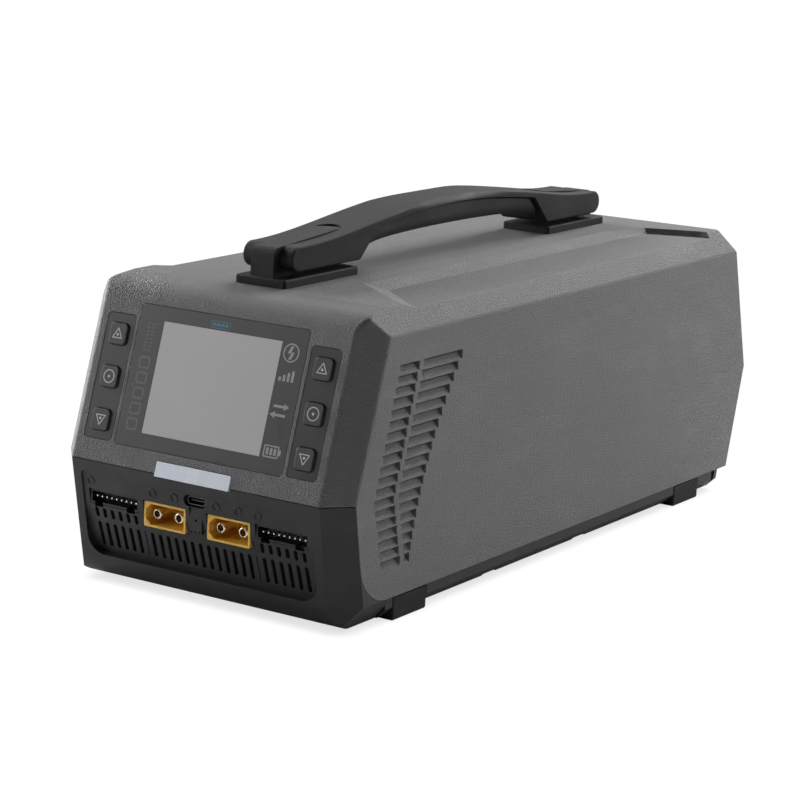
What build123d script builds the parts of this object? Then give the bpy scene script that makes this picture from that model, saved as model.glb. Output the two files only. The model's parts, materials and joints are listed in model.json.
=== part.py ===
from build123d import *
import os
from math import cos, radians, sin, tan

os.makedirs("parts", exist_ok=True)

# Benchtop balance charger: X to the object's right, Y to its back, Z up, in millimetres.
# The origin is on the table, under the middle of the body.

# ---- driving dimensions ------------------------------------------------------
length = 333.9            # foremost front edge to rearmost rear edge
width = 141.0
roof_z = 124.8            # roof above the table
wall = 2.8                # all shells
seam_z = 53.2             # foremost edge, where the grey shell meets the black bezel
rear_seam_z = 58.5        # rearmost edge
base_z = 1.6              # underside of the tray above the table
shell_bottom_z = 11.5     # lower edge of the grey side walls
lean_upper = 17.5         # degrees that the display face leans back
lean_lower = 9.6          # degrees that the bezel falls back below the seam
lean_rear = 15.3          # degrees of both rear faces
roof_break = 37.9         # from the front edge to where the roof becomes level
roof_slope = 8.0          # degrees of the roof in front of that line
brow_round = 12.0         # radius where the display face turns into the roof
chin_round = 14.0         # radius where the bezel turns under
edge_round = 2.4          # soft edges of the grey shell
corner_x, corner_y = 9.6, 10.4    # front vertical corners, cut back in X and Y
eave_x, eave_z = 9.2, 9.6         # long edges of the roof, cut back in X and Z
keel_x, keel_z = 8.0, 10.0        # long lower edges, cut back in X and Z
seam_gap = 0.3            # shadow gap between two visible mouldings
fit_gap = 0.2             # around a piece that drops into a pocket
slip = 0.03               # round a pin in its hole

# ---- planes of the sloping faces: X across, Y up the slope, Z outwards --------
front_y, rear_y = -length / 2, length / 2


def slope(angle):
    """Sine and cosine of an angle in degrees."""
    return sin(radians(angle)), cos(radians(angle))


upper_sin, upper_cos = slope(lean_upper)
lower_sin, lower_cos = slope(lean_lower)
rear_sin, rear_cos = slope(lean_rear)
display_plane = Plane((0, front_y, seam_z), x_dir=(1, 0, 0), z_dir=(0, -upper_cos, upper_sin))
port_plane = Plane((0, front_y, seam_z), x_dir=(1, 0, 0), z_dir=(0, -lower_cos, -lower_sin))
fan_plane = Plane((0, rear_y, rear_seam_z), x_dir=(-1, 0, 0), z_dir=(0, rear_cos, rear_sin))
inlet_plane = Plane((0, rear_y, rear_seam_z), x_dir=(-1, 0, 0), z_dir=(0, rear_cos, -rear_sin))


def write(piece, label):
    """Labels a finished piece and writes its file."""
    piece.part.label = label
    export_step(piece.part, f"parts/{label}.step")


# ---- the body's outer form ---------------------------------------------------
slope_rise, lean_run = tan(radians(roof_slope)), tan(radians(lean_upper))
brow_z = (roof_z - slope_rise * (roof_break + lean_run * seam_z)) / (1 - slope_rise * lean_run)
brow_y = front_y + (brow_z - seam_z) * lean_run
roof_end_y = rear_y - (roof_z - rear_seam_z) * tan(radians(lean_rear))
tail_y = rear_y - (rear_seam_z - base_z) * tan(radians(lean_rear))
chin_y = front_y + (seam_z - base_z) * tan(radians(lean_lower))
side_outline = [
    (front_y, seam_z),
    (brow_y, brow_z),
    (front_y + roof_break, roof_z),
    (roof_end_y, roof_z),
    (rear_y, rear_seam_z),
    (tail_y, base_z),
    (chin_y, base_z),
]

bevel_planes = []
for side in (1, -1):
    corner = (side * (width / 2 - corner_x), front_y, seam_z)
    for lean in (lean_upper, -lean_lower):
        rise = Vector(0, sin(radians(lean)), cos(radians(lean)))
        outwards = rise.cross(Vector(corner_x, side * corner_y, 0)) * -1
        if outwards.Y > 0:
            outwards = outwards * -1
        bevel_planes.append(Plane(corner, x_dir=rise, z_dir=outwards))
    eave = (side * (width / 2 - eave_x), 0, roof_z)
    bevel_planes.append(Plane(eave, x_dir=(0, 1, 0), z_dir=(side * eave_z, 0, eave_x)))
    keel = (side * (width / 2 - keel_x), 0, base_z)
    bevel_planes.append(Plane(keel, x_dir=(0, 1, 0), z_dir=(side * keel_z, 0, -keel_x)))


def edge_near(builder, point):
    """The edge along X whose height and depth are nearest to a point of the side outline."""
    target = Vector(0, *point)
    across = builder.edges().filter_by(Axis.X)
    return across.sort_by(lambda edge: (Vector(0, edge.center().Y, edge.center().Z) - target).length)[0]


def envelope(inset):
    """The whole body as one solid, every face moved in by inset."""
    with BuildPart(mode=Mode.PRIVATE) as body:
        with BuildSketch(Plane.YZ):
            with BuildLine():
                Polyline(*side_outline, close=True)
            make_face()
            if inset:
                offset(amount=-inset, kind=Kind.INTERSECTION)
        extrude(amount=width / 2 - inset, both=True)
        for point, radius in ((side_outline[1], brow_round), (side_outline[-1], chin_round)):
            fillet(edge_near(body, point), radius=radius - inset)
        for plane in bevel_planes:
            split(bisect_by=plane.offset(-inset), keep=Keep.BOTTOM)
    return body.part


# ---- the black bezel's zone: everything before its seam with the grey shell ----
bezel_side_y = front_y + corner_y                 # seam on the side, at the seam's height
bezel_foot_y = bezel_side_y + (seam_z - shell_bottom_z) * tan(radians(lean_lower))
bezel_corner_round = 19.0
bezel_end_y = bezel_foot_y + 20.0                 # where the bezel's floor meets the tray


def bezel_zone(gap):
    """A block that holds the bezel, seen from the side, drawn in by gap at the seam."""
    with BuildPart(mode=Mode.PRIVATE) as zone:
        with BuildSketch(Plane.YZ) as outline:
            with BuildLine():
                Polyline(
                    (front_y - 20, seam_z),
                    (bezel_side_y, seam_z),
                    (bezel_foot_y, shell_bottom_z),
                    (bezel_end_y, shell_bottom_z),
                    (bezel_end_y, -20),
                    (front_y - 20, -20),
                    close=True,
                )
            make_face()
            turn = outline.vertices().sort_by(lambda v: abs(v.X - bezel_foot_y) + abs(v.Y - shell_bottom_z))
            fillet(turn[0], radius=bezel_corner_round)
            if gap:
                offset(amount=-gap, kind=Kind.INTERSECTION)
        extrude(amount=width, both=True)
    return zone.part


# ---- display, buttons and light bar on the display face ------------------------
panel_w, panel_h, panel_v = 82.1, 56.7, 36.85     # overlay and its middle up the slope
panel_round = 1.6
panel_thick = 1.0
window_w, window_h, window_v = 57.8, 44.9, 36.95
window_ledge = 1.2
strip_w, strip_h, strip_v, strip_x = 13.8, 50.7, 34.4, 50.1
strip_ledge = 1.2
button_size, button_round = 8.7, 1.7
button_pitch, button_v = 17.4, 34.1
button_rise = 0.8                                 # proud of the strip at rest
button_play = 0.25                                # around the cap in its strip
button_flange = 0.9                               # each side of the cap, under the strip
button_travel = 0.6
bar_w, bar_low, bar_high = 36.5, -1.2, 4.9        # light bar, down and up the slope
bar_proud, bar_depth = 0.3, 4.2

# ---- side louvres ---------------------------------------------------------------
louvre_pitch, louvre_count, louvre_top_z = 4.22, 19, 103.4
louvre_slit, louvre_depth, louvre_rib = 0.95, 1.9, 0.35
louvre_web = 3.0                                  # between the two columns
louvre_column = 13.5                              # length of the front column's slits
louvre_front = 22.3                               # from the front edge, at the seam's height
louvre_lean_up, louvre_lean_down = 16.4, 12.4     # degrees of the field's front edge
louvre_blind = 5                                  # lowest ones of the rear column are shut
louvre_rear, louvre_rear_z = 47.6, 25.0           # rear end of the slits, and the height it curves from
louvre_rear_lean, louvre_rear_bend = 0.1555, 0.003463


def louvre_rows():
    """Top height, and front and rear limits from the front edge, of each row of both columns."""
    rows = []
    for index in range(louvre_count):
        top = louvre_top_z - index * louvre_pitch
        rise = top - seam_z
        lean = louvre_lean_up if rise > 0 else -louvre_lean_down
        start = louvre_front + rise * tan(radians(lean))
        middle = start + louvre_column
        drop = max(top - louvre_rear_z, 0)
        finish = louvre_rear + louvre_rear_lean * drop + louvre_rear_bend * drop ** 2
        rows.append((top, start, middle, True))
        if finish - middle - louvre_web > 2:
            rows.append((top, middle + louvre_web, finish, index < louvre_count - louvre_blind))
    return rows


def louvre_cutters():
    """One wedge per louvre: flush at its foot, deep at its head, open there where it breathes."""
    cutters = []
    for top, start, finish, is_open in louvre_rows():
        low = top - louvre_pitch + louvre_rib
        floor_x = width / 2 - louvre_depth
        slit_x = width / 2 - wall - 1 if is_open else floor_x - 0.01
        for side in (1, -1):
            with BuildPart(mode=Mode.PRIVATE) as cutter:
                with BuildSketch(Plane.XZ.offset(-(front_y + start))):
                    with BuildLine():
                        Polyline(
                            (side * (width / 2 + 1), low),
                            (side * width / 2, low),
                            (side * floor_x, top - louvre_slit),
                            (side * slit_x, top - louvre_slit),
                            (side * slit_x, top),
                            (side * (width / 2 + 1), top),
                            close=True,
                        )
                    make_face()
                extrude(amount=-(finish - start))
            cutters.append(cutter.part)
    return cutters


# ---- roof recesses beside the handle's spine --------------------------------------
recess_depth = 2.5
spine_half = 26.5
recess_outline = [                                # from the front edge, right-hand side
    (spine_half, 75.0),
    (57.0, 52.0),
    (75.0, 39.0),
    (75.0, 306.0),
    (58.5, 304.5),
    (34.0, 295.0),
    (spine_half, 275.0),
]
recess_floor = [                                  # the same corners at the foot of the sloping walls
    (spine_half + 8.0, 81.0),
    (58.0, 61.0),
    (75.0, 48.0),
    (75.0, 304.0),
    (58.5, 302.5),
    (36.0, 293.5),
    (spine_half + 8.0, 274.0),
]
recess_lift = 0.5                                 # how far the cutter's walls run on above the roof


def recess_section(side, height):
    """Outline of one recess at a height above its floor, in line with its walls."""
    share = height / recess_depth
    corners = [
        (side * (low[0] + share * (high[0] - low[0])), front_y + low[1] + share * (high[1] - low[1]))
        for low, high in zip(recess_floor, recess_outline)
    ]
    with BuildSketch(Plane.XY.offset(roof_z - recess_depth + height), mode=Mode.PRIVATE) as section:
        with BuildLine():
            Polyline(*corners, close=True)
        make_face()
    return section.sketch



# ---- towers inside the shell that the base screws hold ------------------------------
tower_x, tower_w, tower_top_z = 61.5, 10.0, 42.0
front_foot_y, rear_foot_y = 54.4, 287.0           # feet's middles, from the front edge
tray_rim_z = 14.0
base_screw = 3.0                                  # thread diameter

# ---- handle ---------------------------------------------------------------------------
handle_y = 0.5                                    # handle's middle from the body's
handle_half = 126.3                               # from there to the ends of its plates
handle_w = 24.6
plate_l, plate_thick = 50.5, 3.4
plate_screw_l = (88.5, 117.0)                     # screws, from the handle's middle
plate_screw = 4.0

with BuildPart() as upper_shell:
    add(envelope(0))
    soft_edges = [
        edge
        for edge in upper_shell.edges()
        if edge.center().Z > seam_z - 1 and abs(edge.center().X) > 50 and edge.center().Y < rear_y - 27
    ]
    fillet(soft_edges, radius=edge_round)
    add(envelope(wall), mode=Mode.SUBTRACT)
    with BuildSketch(Plane.XY.offset(shell_bottom_z)):
        Rectangle(2 * width, 2 * length)
    extrude(amount=-shell_bottom_z, mode=Mode.SUBTRACT)
    add(bezel_zone(0), mode=Mode.SUBTRACT)
    # straight inner faces beside the tray, and the open rear end of the sleeve
    mouth_half, mouth_z = width / 2 - wall, roof_z - wall
    with BuildSketch(Plane.XY.offset(shell_bottom_z)):
        with Locations((0, length / 2 + bezel_end_y)):
            Rectangle(2 * mouth_half, length)
    extrude(amount=tray_rim_z - shell_bottom_z + 4, mode=Mode.SUBTRACT)
    with BuildSketch(Plane.XZ.offset(-rear_y + 40)):
        with BuildLine():
            Polyline(
                (-mouth_half, -20),
                (-mouth_half, mouth_z - eave_z),
                (-mouth_half + eave_x, mouth_z),
                (mouth_half - eave_x, mouth_z),
                (mouth_half, mouth_z - eave_z),
                (mouth_half, -20),
                close=True,
            )
        make_face()
    extrude(amount=-60, mode=Mode.SUBTRACT)
    # thicker roof under both recesses, then the recesses
    for side in (1, -1):
        with BuildSketch(Plane.XY.offset(roof_z - wall - recess_depth)):
            with BuildLine():
                outline = [(side * min(x, 61.0), front_y + y) for x, y in recess_outline]
                Polyline(*outline, close=True)
            make_face()
        extrude(amount=recess_depth)
        with BuildPart(mode=Mode.PRIVATE) as recess:
            add(recess_section(side, 0))
            add(recess_section(side, recess_depth + recess_lift))
            loft(ruled=True)
        add(recess.part, mode=Mode.SUBTRACT)
    # pockets of the display face
    with BuildSketch(display_plane.offset(-panel_thick)):
        with Locations((0, panel_v)):
            RectangleRounded(panel_w + 2 * fit_gap, panel_h + 2 * fit_gap, panel_round + fit_gap)
        with Locations((-strip_x, strip_v), (strip_x, strip_v)):
            RectangleRounded(strip_w + 2 * fit_gap, strip_h + 2 * fit_gap, panel_round + fit_gap)
    extrude(amount=panel_thick + 1, mode=Mode.SUBTRACT)
    with BuildSketch(display_plane.offset(1)):
        with Locations((0, window_v)):
            Rectangle(window_w - 2 * window_ledge, window_h - 2 * window_ledge)
        with Locations((-strip_x, strip_v), (strip_x, strip_v)):
            Rectangle(strip_w - 2 * strip_ledge, strip_h - 2 * strip_ledge)
        with Locations((0, (bar_high - bar_depth) / 2)):
            Rectangle(bar_w + 2 * fit_gap, bar_high + bar_depth + 2 * fit_gap)
    extrude(amount=-2 * wall - 1, mode=Mode.SUBTRACT)
    # screw towers on the side walls
    tower_start = tower_x - tower_w / 2
    for side in (1, -1):
        for foot_y in (front_foot_y, rear_foot_y):
            with BuildSketch(Plane.XY.offset(tray_rim_z + fit_gap)):
                with Locations((side * (tower_start + mouth_half) / 2, front_y + foot_y)):
                    Rectangle(mouth_half - tower_start, tower_w)
            extrude(amount=tower_top_z - tray_rim_z)
    with BuildSketch(Plane.XY.offset(tray_rim_z)):
        for foot_y in (front_foot_y, rear_foot_y):
            with Locations((-tower_x, front_y + foot_y), (tower_x, front_y + foot_y)):
                Circle(base_screw / 2 + slip)
    extrude(amount=16, mode=Mode.SUBTRACT)
    # holes for the handle's screws
    with BuildSketch(Plane.XY.offset(roof_z + 1)):
        with Locations(*[(0, handle_y + end * place) for end in (1, -1) for place in plate_screw_l]):
            Circle(plate_screw / 2 + fit_gap)
    extrude(amount=-2 * wall, mode=Mode.SUBTRACT)
    add(louvre_cutters(), mode=Mode.SUBTRACT)
write(upper_shell, "upper_shell")

# ---- front bezel -------------------------------------------------------------------
plate_half, plate_low, plate_high = 57.0, -41.0, -5.2     # recessed faceplate, down the slope
plate_corner_low, plate_corner_high = 8.0, 2.0
faceplate_depth = 0.6
vent_break_v, vent_lean = -19.6, 17.5                     # the vents' part leans back further
header_x, header_z = 41.5, 37.6                           # balance headers
header_w, header_h, header_deep = 24.9, 5.9, 7.0
key_x, key_w, key_h = 8.2, 4.0, 1.2                       # notches in the lower wall of a header
pin_count, pin_pitch, pin_size = 9, 2.5, 0.64
socket_x, socket_z = 15.8, 35.1                           # power sockets
socket_w, socket_h, socket_deep, socket_corner = 20.8, 10.2, 16.0, 2.4
contact_pitch, contact_d = 10.9, 4.5
port_gap = 0.25                                           # around a socket in its opening
usb_z = 44.4
usb_w, usb_h, usb_deep, usb_wall = 8.94, 3.26, 9.0, 0.3
usb_well_w, usb_well_h = 10.9, 4.7                        # well it sits back in
blank_w, blank_h, blank_z = 5.8, 10.2, 36.6               # blanking plate between the sockets
slot_w, slot_pitch = 1.8, 4.02
short_slot_high, short_slot_low = -20.4, -24.7
long_slot_high, long_slot_low = -26.8, -37.6
side_slot_x = 41.3                                        # middle of each outer group of six
ring_places = (10.35, 21.2)                               # polarity rings above the contacts
ring_v, ring_d, ring_line, ring_rise = -9.2, 3.8, 0.45, 0.25
side_ring_x, inner_ring_x = 52.8, 30.4

faceplate_y = front_y + faceplate_depth / lower_cos       # faceplate's surface at the seam's height
vent_y = faceplate_y - vent_break_v * lower_sin
vent_z = seam_z + vent_break_v * lower_cos
vent_plane = Plane(
    (0, vent_y, vent_z),
    x_dir=(1, 0, 0),
    z_dir=(0, -cos(radians(vent_lean)), -sin(radians(vent_lean))),
)


def behind_faceplate(back):
    """Everything behind the faceplate's two surfaces, moved back by back."""
    shift, drop = back / lower_cos, vent_z + 20
    with BuildPart(mode=Mode.PRIVATE) as block:
        with BuildSketch(Plane.YZ):
            with BuildLine():
                Polyline(
                    (faceplate_y + shift - 20 * tan(radians(lean_lower)), seam_z + 20),
                    (vent_y + shift, vent_z),
                    (vent_y + shift + drop * tan(radians(vent_lean)), vent_z - drop),
                    (bezel_end_y + 40, vent_z - drop),
                    (bezel_end_y + 40, seam_z + 20),
                    close=True,
                )
            make_face()
        extrude(amount=width, both=True)
    return block.part


def faceplate_block():
    """What is cut away in front of the faceplate, inside its rounded outline."""
    with BuildPart(mode=Mode.PRIVATE) as block:
        with BuildSketch(port_plane.offset(2)) as outline:
            with Locations((0, (plate_low + plate_high) / 2)):
                Rectangle(2 * plate_half, plate_high - plate_low)
            fillet(outline.vertices().group_by(Axis.Y)[0], radius=plate_corner_low)
            fillet(outline.vertices().group_by(Axis.Y)[-1], radius=plate_corner_high)
        extrude(amount=-12)
        add(behind_faceplate(0), mode=Mode.SUBTRACT)
    return block.part


def vent_v(v):
    """Distance down the vents' own slope, from one measured down the bezel's."""
    return (seam_z + v * lower_cos - vent_z) / cos(radians(vent_lean))


slot_rows = [(short_slot_high, short_slot_low, side * side_slot_x, 6) for side in (1, -1)]
slot_rows += [(long_slot_high, long_slot_low, side * side_slot_x, 6) for side in (1, -1)]
slot_rows += [(long_slot_high, long_slot_low, 0, 13)]
divider_x = (side_slot_x - 2.5 * slot_pitch + 6 * slot_pitch) / 2

with BuildPart() as front_bezel:
    add(envelope(0))
    add(bezel_zone(seam_gap), mode=Mode.INTERSECT)
    with BuildPart(mode=Mode.PRIVATE) as bezel_hollow:
        add(envelope(wall))
        add(behind_faceplate(wall - 0.4), mode=Mode.INTERSECT)
    add(bezel_hollow.part, mode=Mode.SUBTRACT)
    add(faceplate_block(), mode=Mode.SUBTRACT)
    # notch for the light bar
    with BuildSketch(display_plane.offset(5)):
        Rectangle(bar_w + 2 * fit_gap, -2 * bar_low + 2 * fit_gap)
    extrude(amount=-wall - 10, mode=Mode.SUBTRACT)
    # openings of the ports, straight back
    with BuildSketch(Plane.XZ.offset(-front_y + 5)):
        with Locations((-header_x, header_z), (header_x, header_z)):
            Rectangle(header_w + 2 * port_gap, header_h + 2 * port_gap)
        keys = [(s * header_x + t * key_x, header_z - header_h / 2) for s in (1, -1) for t in (1, -1)]
        with Locations(*keys):
            Rectangle(key_w + 2 * fit_gap, 2 * key_h)
        with Locations((-socket_x, socket_z), (socket_x, socket_z)):
            Rectangle(socket_w + 2 * port_gap, socket_h + 2 * port_gap)
        with Locations((0, usb_z)):
            RectangleRounded(usb_well_w, usb_well_h, usb_well_h / 2 - 0.05)
        with Locations((0, blank_z)):
            Rectangle(blank_w + 2 * fit_gap, blank_h + 2 * fit_gap)
    extrude(amount=-14, mode=Mode.SUBTRACT)
    # vent slots
    with BuildSketch(vent_plane.offset(2)):
        for high, low, middle_x, count in slot_rows:
            with Locations((middle_x, (vent_v(high) + vent_v(low)) / 2)):
                with GridLocations(slot_pitch, 1, count, 1):
                    SlotOverall(vent_v(high) - vent_v(low), slot_w, rotation=90)
    extrude(amount=-wall - 6, mode=Mode.SUBTRACT)
    # shallow grooves that part the slot groups
    with BuildSketch(vent_plane.offset(1)):
        divider_v = (vent_v(long_slot_high) + vent_v(long_slot_low)) / 2
        with Locations((-divider_x, divider_v), (divider_x, divider_v)):
            Rectangle(0.6, vent_v(long_slot_high) - vent_v(long_slot_low))
    extrude(amount=-1.4, mode=Mode.SUBTRACT)
    # raised rings beside the ports
    ring_plane = port_plane.offset(-faceplate_depth)
    with BuildSketch(ring_plane):
        places = [(s * x, ring_v) for s in (1, -1) for x in ring_places]
        with Locations(*places, (-side_ring_x, ring_v), (inner_ring_x, ring_v)):
            Circle(ring_d / 2)
            Circle(ring_d / 2 - ring_line, mode=Mode.SUBTRACT)
    extrude(amount=ring_rise)
write(front_bezel, "front_bezel")

# ---- base tray, feet and the screws that hold the shell down --------------------------
tray_wall = 2.4
tray_half = mouth_half - 0.5
tray_keel_x, tray_keel_z = 4.0, 4.0
tray_front_y, tray_rear_y = bezel_end_y, 146.0
foot_w, foot_l, foot_top_z, foot_outer = 13.5, 24.0, 9.4, 67.5
foot_gap = 0.1
foot_spots = {"front_feet": front_foot_y, "rear_feet": rear_foot_y}
screw_head_r, screw_head_h, screw_seat_z = 2.8, 2.4, 4.0
screw_tip_z = tray_rim_z + 14
notch_l, notch_depth = 11.0, 1.0
notch_y = (-47.0, 27.0)
board_z = 20.0                                   # top of the standoffs
board_half, board_thick = 54.0, 1.6
charge_board_y = (-150.0, -24.0)
power_board_y = (-20.0, 118.0)
standoff_r, board_screw_r = 3.0, 1.5
standoff_x, standoff_y = 44.0, (-120.0, -30.0, -14.0, 112.0)
standoff_spots = [(side * standoff_x, y) for side in (1, -1) for y in standoff_y]

with BuildPart() as base_tray:
    with BuildSketch(Plane.XZ.offset(-tray_front_y)):
        with BuildLine():
            Polyline(
                (tray_half, tray_rim_z),
                (tray_half, base_z + tray_keel_z),
                (tray_half - tray_keel_x, base_z),
                (tray_keel_x - tray_half, base_z),
                (-tray_half, base_z + tray_keel_z),
                (-tray_half, tray_rim_z),
                close=True,
            )
        make_face()
    extrude(amount=-(tray_rear_y - tray_front_y))
    # hollow, leaving a block above each foot
    with BuildSketch(Plane.XY.offset(base_z + tray_wall)):
        with Locations((0, (tray_front_y + tray_rear_y) / 2)):
            Rectangle(2 * (tray_half - tray_wall - 1.2), tray_rear_y - tray_front_y + 1)
        with Locations(*[(s * foot_outer, front_y + y) for s in (1, -1) for y in foot_spots.values()]):
            Rectangle(2 * foot_w + 6, foot_l + 6, mode=Mode.SUBTRACT)
    extrude(amount=tray_rim_z, mode=Mode.SUBTRACT)
    # pockets and screw holes of the feet
    with BuildSketch():
        with Locations(*[(s * foot_outer, front_y + y) for s in (1, -1) for y in foot_spots.values()]):
            Rectangle(2 * foot_w + 2 * foot_gap, foot_l + 2 * foot_gap)
    extrude(amount=foot_top_z + foot_gap, mode=Mode.SUBTRACT)
    with BuildSketch():
        with Locations(*[(s * tower_x, front_y + y) for s in (1, -1) for y in foot_spots.values()]):
            Circle(base_screw / 2 + fit_gap)
    extrude(amount=tray_rim_z + 1, mode=Mode.SUBTRACT)
    # shallow notches in both lower edges
    for y in notch_y:
        for side in (1, -1):
            with BuildSketch(Plane.XZ.offset(-(y - notch_l / 2))):
                with Locations((side * tray_half, base_z)):
                    Rectangle(2 * (tray_keel_x + notch_depth), 2 * notch_depth)
            extrude(amount=-notch_l, mode=Mode.SUBTRACT)
    # air slots in the floor, clear of the standoffs
    with BuildSketch(Plane.XY.offset(base_z - 1)):
        with Locations((0, -96.0), (0, 86.0)):
            with GridLocations(6.0, 40.0, 13, 1):
                SlotOverall(32, 2.6, rotation=90)
    extrude(amount=tray_wall + 2, mode=Mode.SUBTRACT)
write(base_tray, "base_tray")

for label, foot_y in foot_spots.items():
    with BuildPart() as feet:
        for side in (1, -1):
            with BuildSketch():
                with Locations((side * (foot_outer - foot_w / 2), front_y + foot_y)):
                    RectangleRounded(foot_w, foot_l, 1.0)
            extrude(amount=foot_top_z)
        chamfer(feet.faces().filter_by(Axis.Z).group_by(Axis.Z)[0].edges(), length=0.6)
        with BuildSketch():
            with Locations((tower_x, front_y + foot_y), (-tower_x, front_y + foot_y)):
                Circle(base_screw / 2 + fit_gap)
        extrude(amount=foot_top_z, mode=Mode.SUBTRACT)
        with BuildSketch():
            with Locations((tower_x, front_y + foot_y), (-tower_x, front_y + foot_y)):
                Circle(screw_head_r + fit_gap)
        extrude(amount=screw_seat_z, mode=Mode.SUBTRACT)
    write(feet, label)

with BuildPart() as base_screws:
    for side in (1, -1):
        for foot_y in foot_spots.values():
            with BuildSketch(Plane.XY.offset(screw_seat_z - screw_head_h)):
                with Locations((side * tower_x, front_y + foot_y)):
                    Circle(screw_head_r)
                    RegularPolygon(1.2, 6, mode=Mode.SUBTRACT)
            extrude(amount=screw_head_h)
            with BuildSketch(Plane.XY.offset(screw_seat_z - 1.0)):
                with Locations((side * tower_x, front_y + foot_y)):
                    Circle(base_screw / 2)
            extrude(amount=screw_tip_z - screw_seat_z + 1.0)
write(base_screws, "base_screws")

# ---- rear bezel: one plate bent along the rear edge, set into the sleeve ----------------
rear_set_in = 1.5
fan_size, fan_deep, fan_hole_pitch, fan_bore = 60.0, 15.0, 50.0, 57.4
fan_x, fan_v = 31.0, 33.4
fan_screw = 4.0
inlet_x, inlet_v = 33.0, -22.0                   # AC inlet, seen from behind on the left
inlet_cut_w, inlet_cut_h = 27.5, 20.0
dc_x = -33.0
rear_half = mouth_half - 0.25
rear_top_z = mouth_z - 0.25


def rear_line(back, z):
    """A point of the rear faces moved forward by back, at a height."""
    return rear_y - back / rear_cos - abs(z - rear_seam_z) * tan(radians(lean_rear))


with BuildPart() as rear_bezel:
    with BuildSketch(Plane.YZ):
        with BuildLine():
            outer, inner = rear_set_in, rear_set_in + wall
            Polyline(
                (rear_line(outer, rear_top_z), rear_top_z),
                (rear_line(outer, rear_seam_z), rear_seam_z),
                (rear_line(outer, base_z), base_z),
                (rear_line(inner, base_z), base_z),
                (rear_line(inner, rear_seam_z), rear_seam_z),
                (rear_line(inner, rear_top_z), rear_top_z),
                close=True,
            )
        make_face()
    extrude(amount=width / 2, both=True)
    # floor tongue that meets the tray
    with BuildSketch(Plane.YZ):
        with BuildLine():
            Polyline(
                (tray_rear_y, base_z),
                (rear_line(inner, base_z) + 0.5, base_z),
                (rear_line(inner, base_z + tray_wall) + 0.5, base_z + tray_wall),
                (tray_rear_y, base_z + tray_wall),
                close=True,
            )
        make_face()
    extrude(amount=width / 2, both=True)
    with BuildSketch(Plane.XZ.offset(-rear_y + 60)):
        with BuildLine():
            Polyline(
                (tray_half - tray_keel_x, base_z),
                (tray_half, base_z + tray_keel_z),
                (tray_half, shell_bottom_z + 0.2),
                (rear_half, shell_bottom_z + 0.2),
                (rear_half, rear_top_z - eave_z),
                (rear_half - eave_x, rear_top_z),
                (-rear_half + eave_x, rear_top_z),
                (-rear_half, rear_top_z - eave_z),
                (-rear_half, shell_bottom_z + 0.2),
                (-tray_half, shell_bottom_z + 0.2),
                (-tray_half, base_z + tray_keel_z),
                (tray_keel_x - tray_half, base_z),
                close=True,
            )
        make_face()
    extrude(amount=-80, mode=Mode.INTERSECT)
    with BuildSketch(fan_plane.offset(1)):
        with Locations((fan_x, fan_v), (-fan_x, fan_v)):
            Circle(fan_bore / 2)
            with GridLocations(fan_hole_pitch, fan_hole_pitch, 2, 2):
                Circle(fan_screw / 2 + fit_gap)
    extrude(amount=-10, mode=Mode.SUBTRACT)
    with BuildSketch(inlet_plane.offset(1)):
        with Locations((inlet_x, inlet_v)):
            Rectangle(inlet_cut_w + 0.3, inlet_cut_h + 0.3)
        with Locations((dc_x, inlet_v)):
            Rectangle(socket_w + 2 * port_gap, socket_h + 2 * port_gap)
    extrude(amount=-10, mode=Mode.SUBTRACT)
write(rear_bezel, "rear_bezel")

# ---- fans: frame, rotor, stamped guard and screws ---------------------------------------
fan_front = -(rear_set_in + wall)                # frame's outer face, from the fan plane
hub_r, shaft_r, blade_count, blade_r = 13.0, 1.5, 7, 27.8
boss_r, boss_thick = 13.5, 3.0
rotor_deep = 9.6
guard_thick, guard_wire, guard_hub_r = 1.2, 1.6, 9.5
guard_rings = (27.5, 21.5, 15.5)
fan_head_r, fan_head_h, fan_head_floor, fan_screw_bite = 3.6, 1.6, 0.6, 10.0

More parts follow.
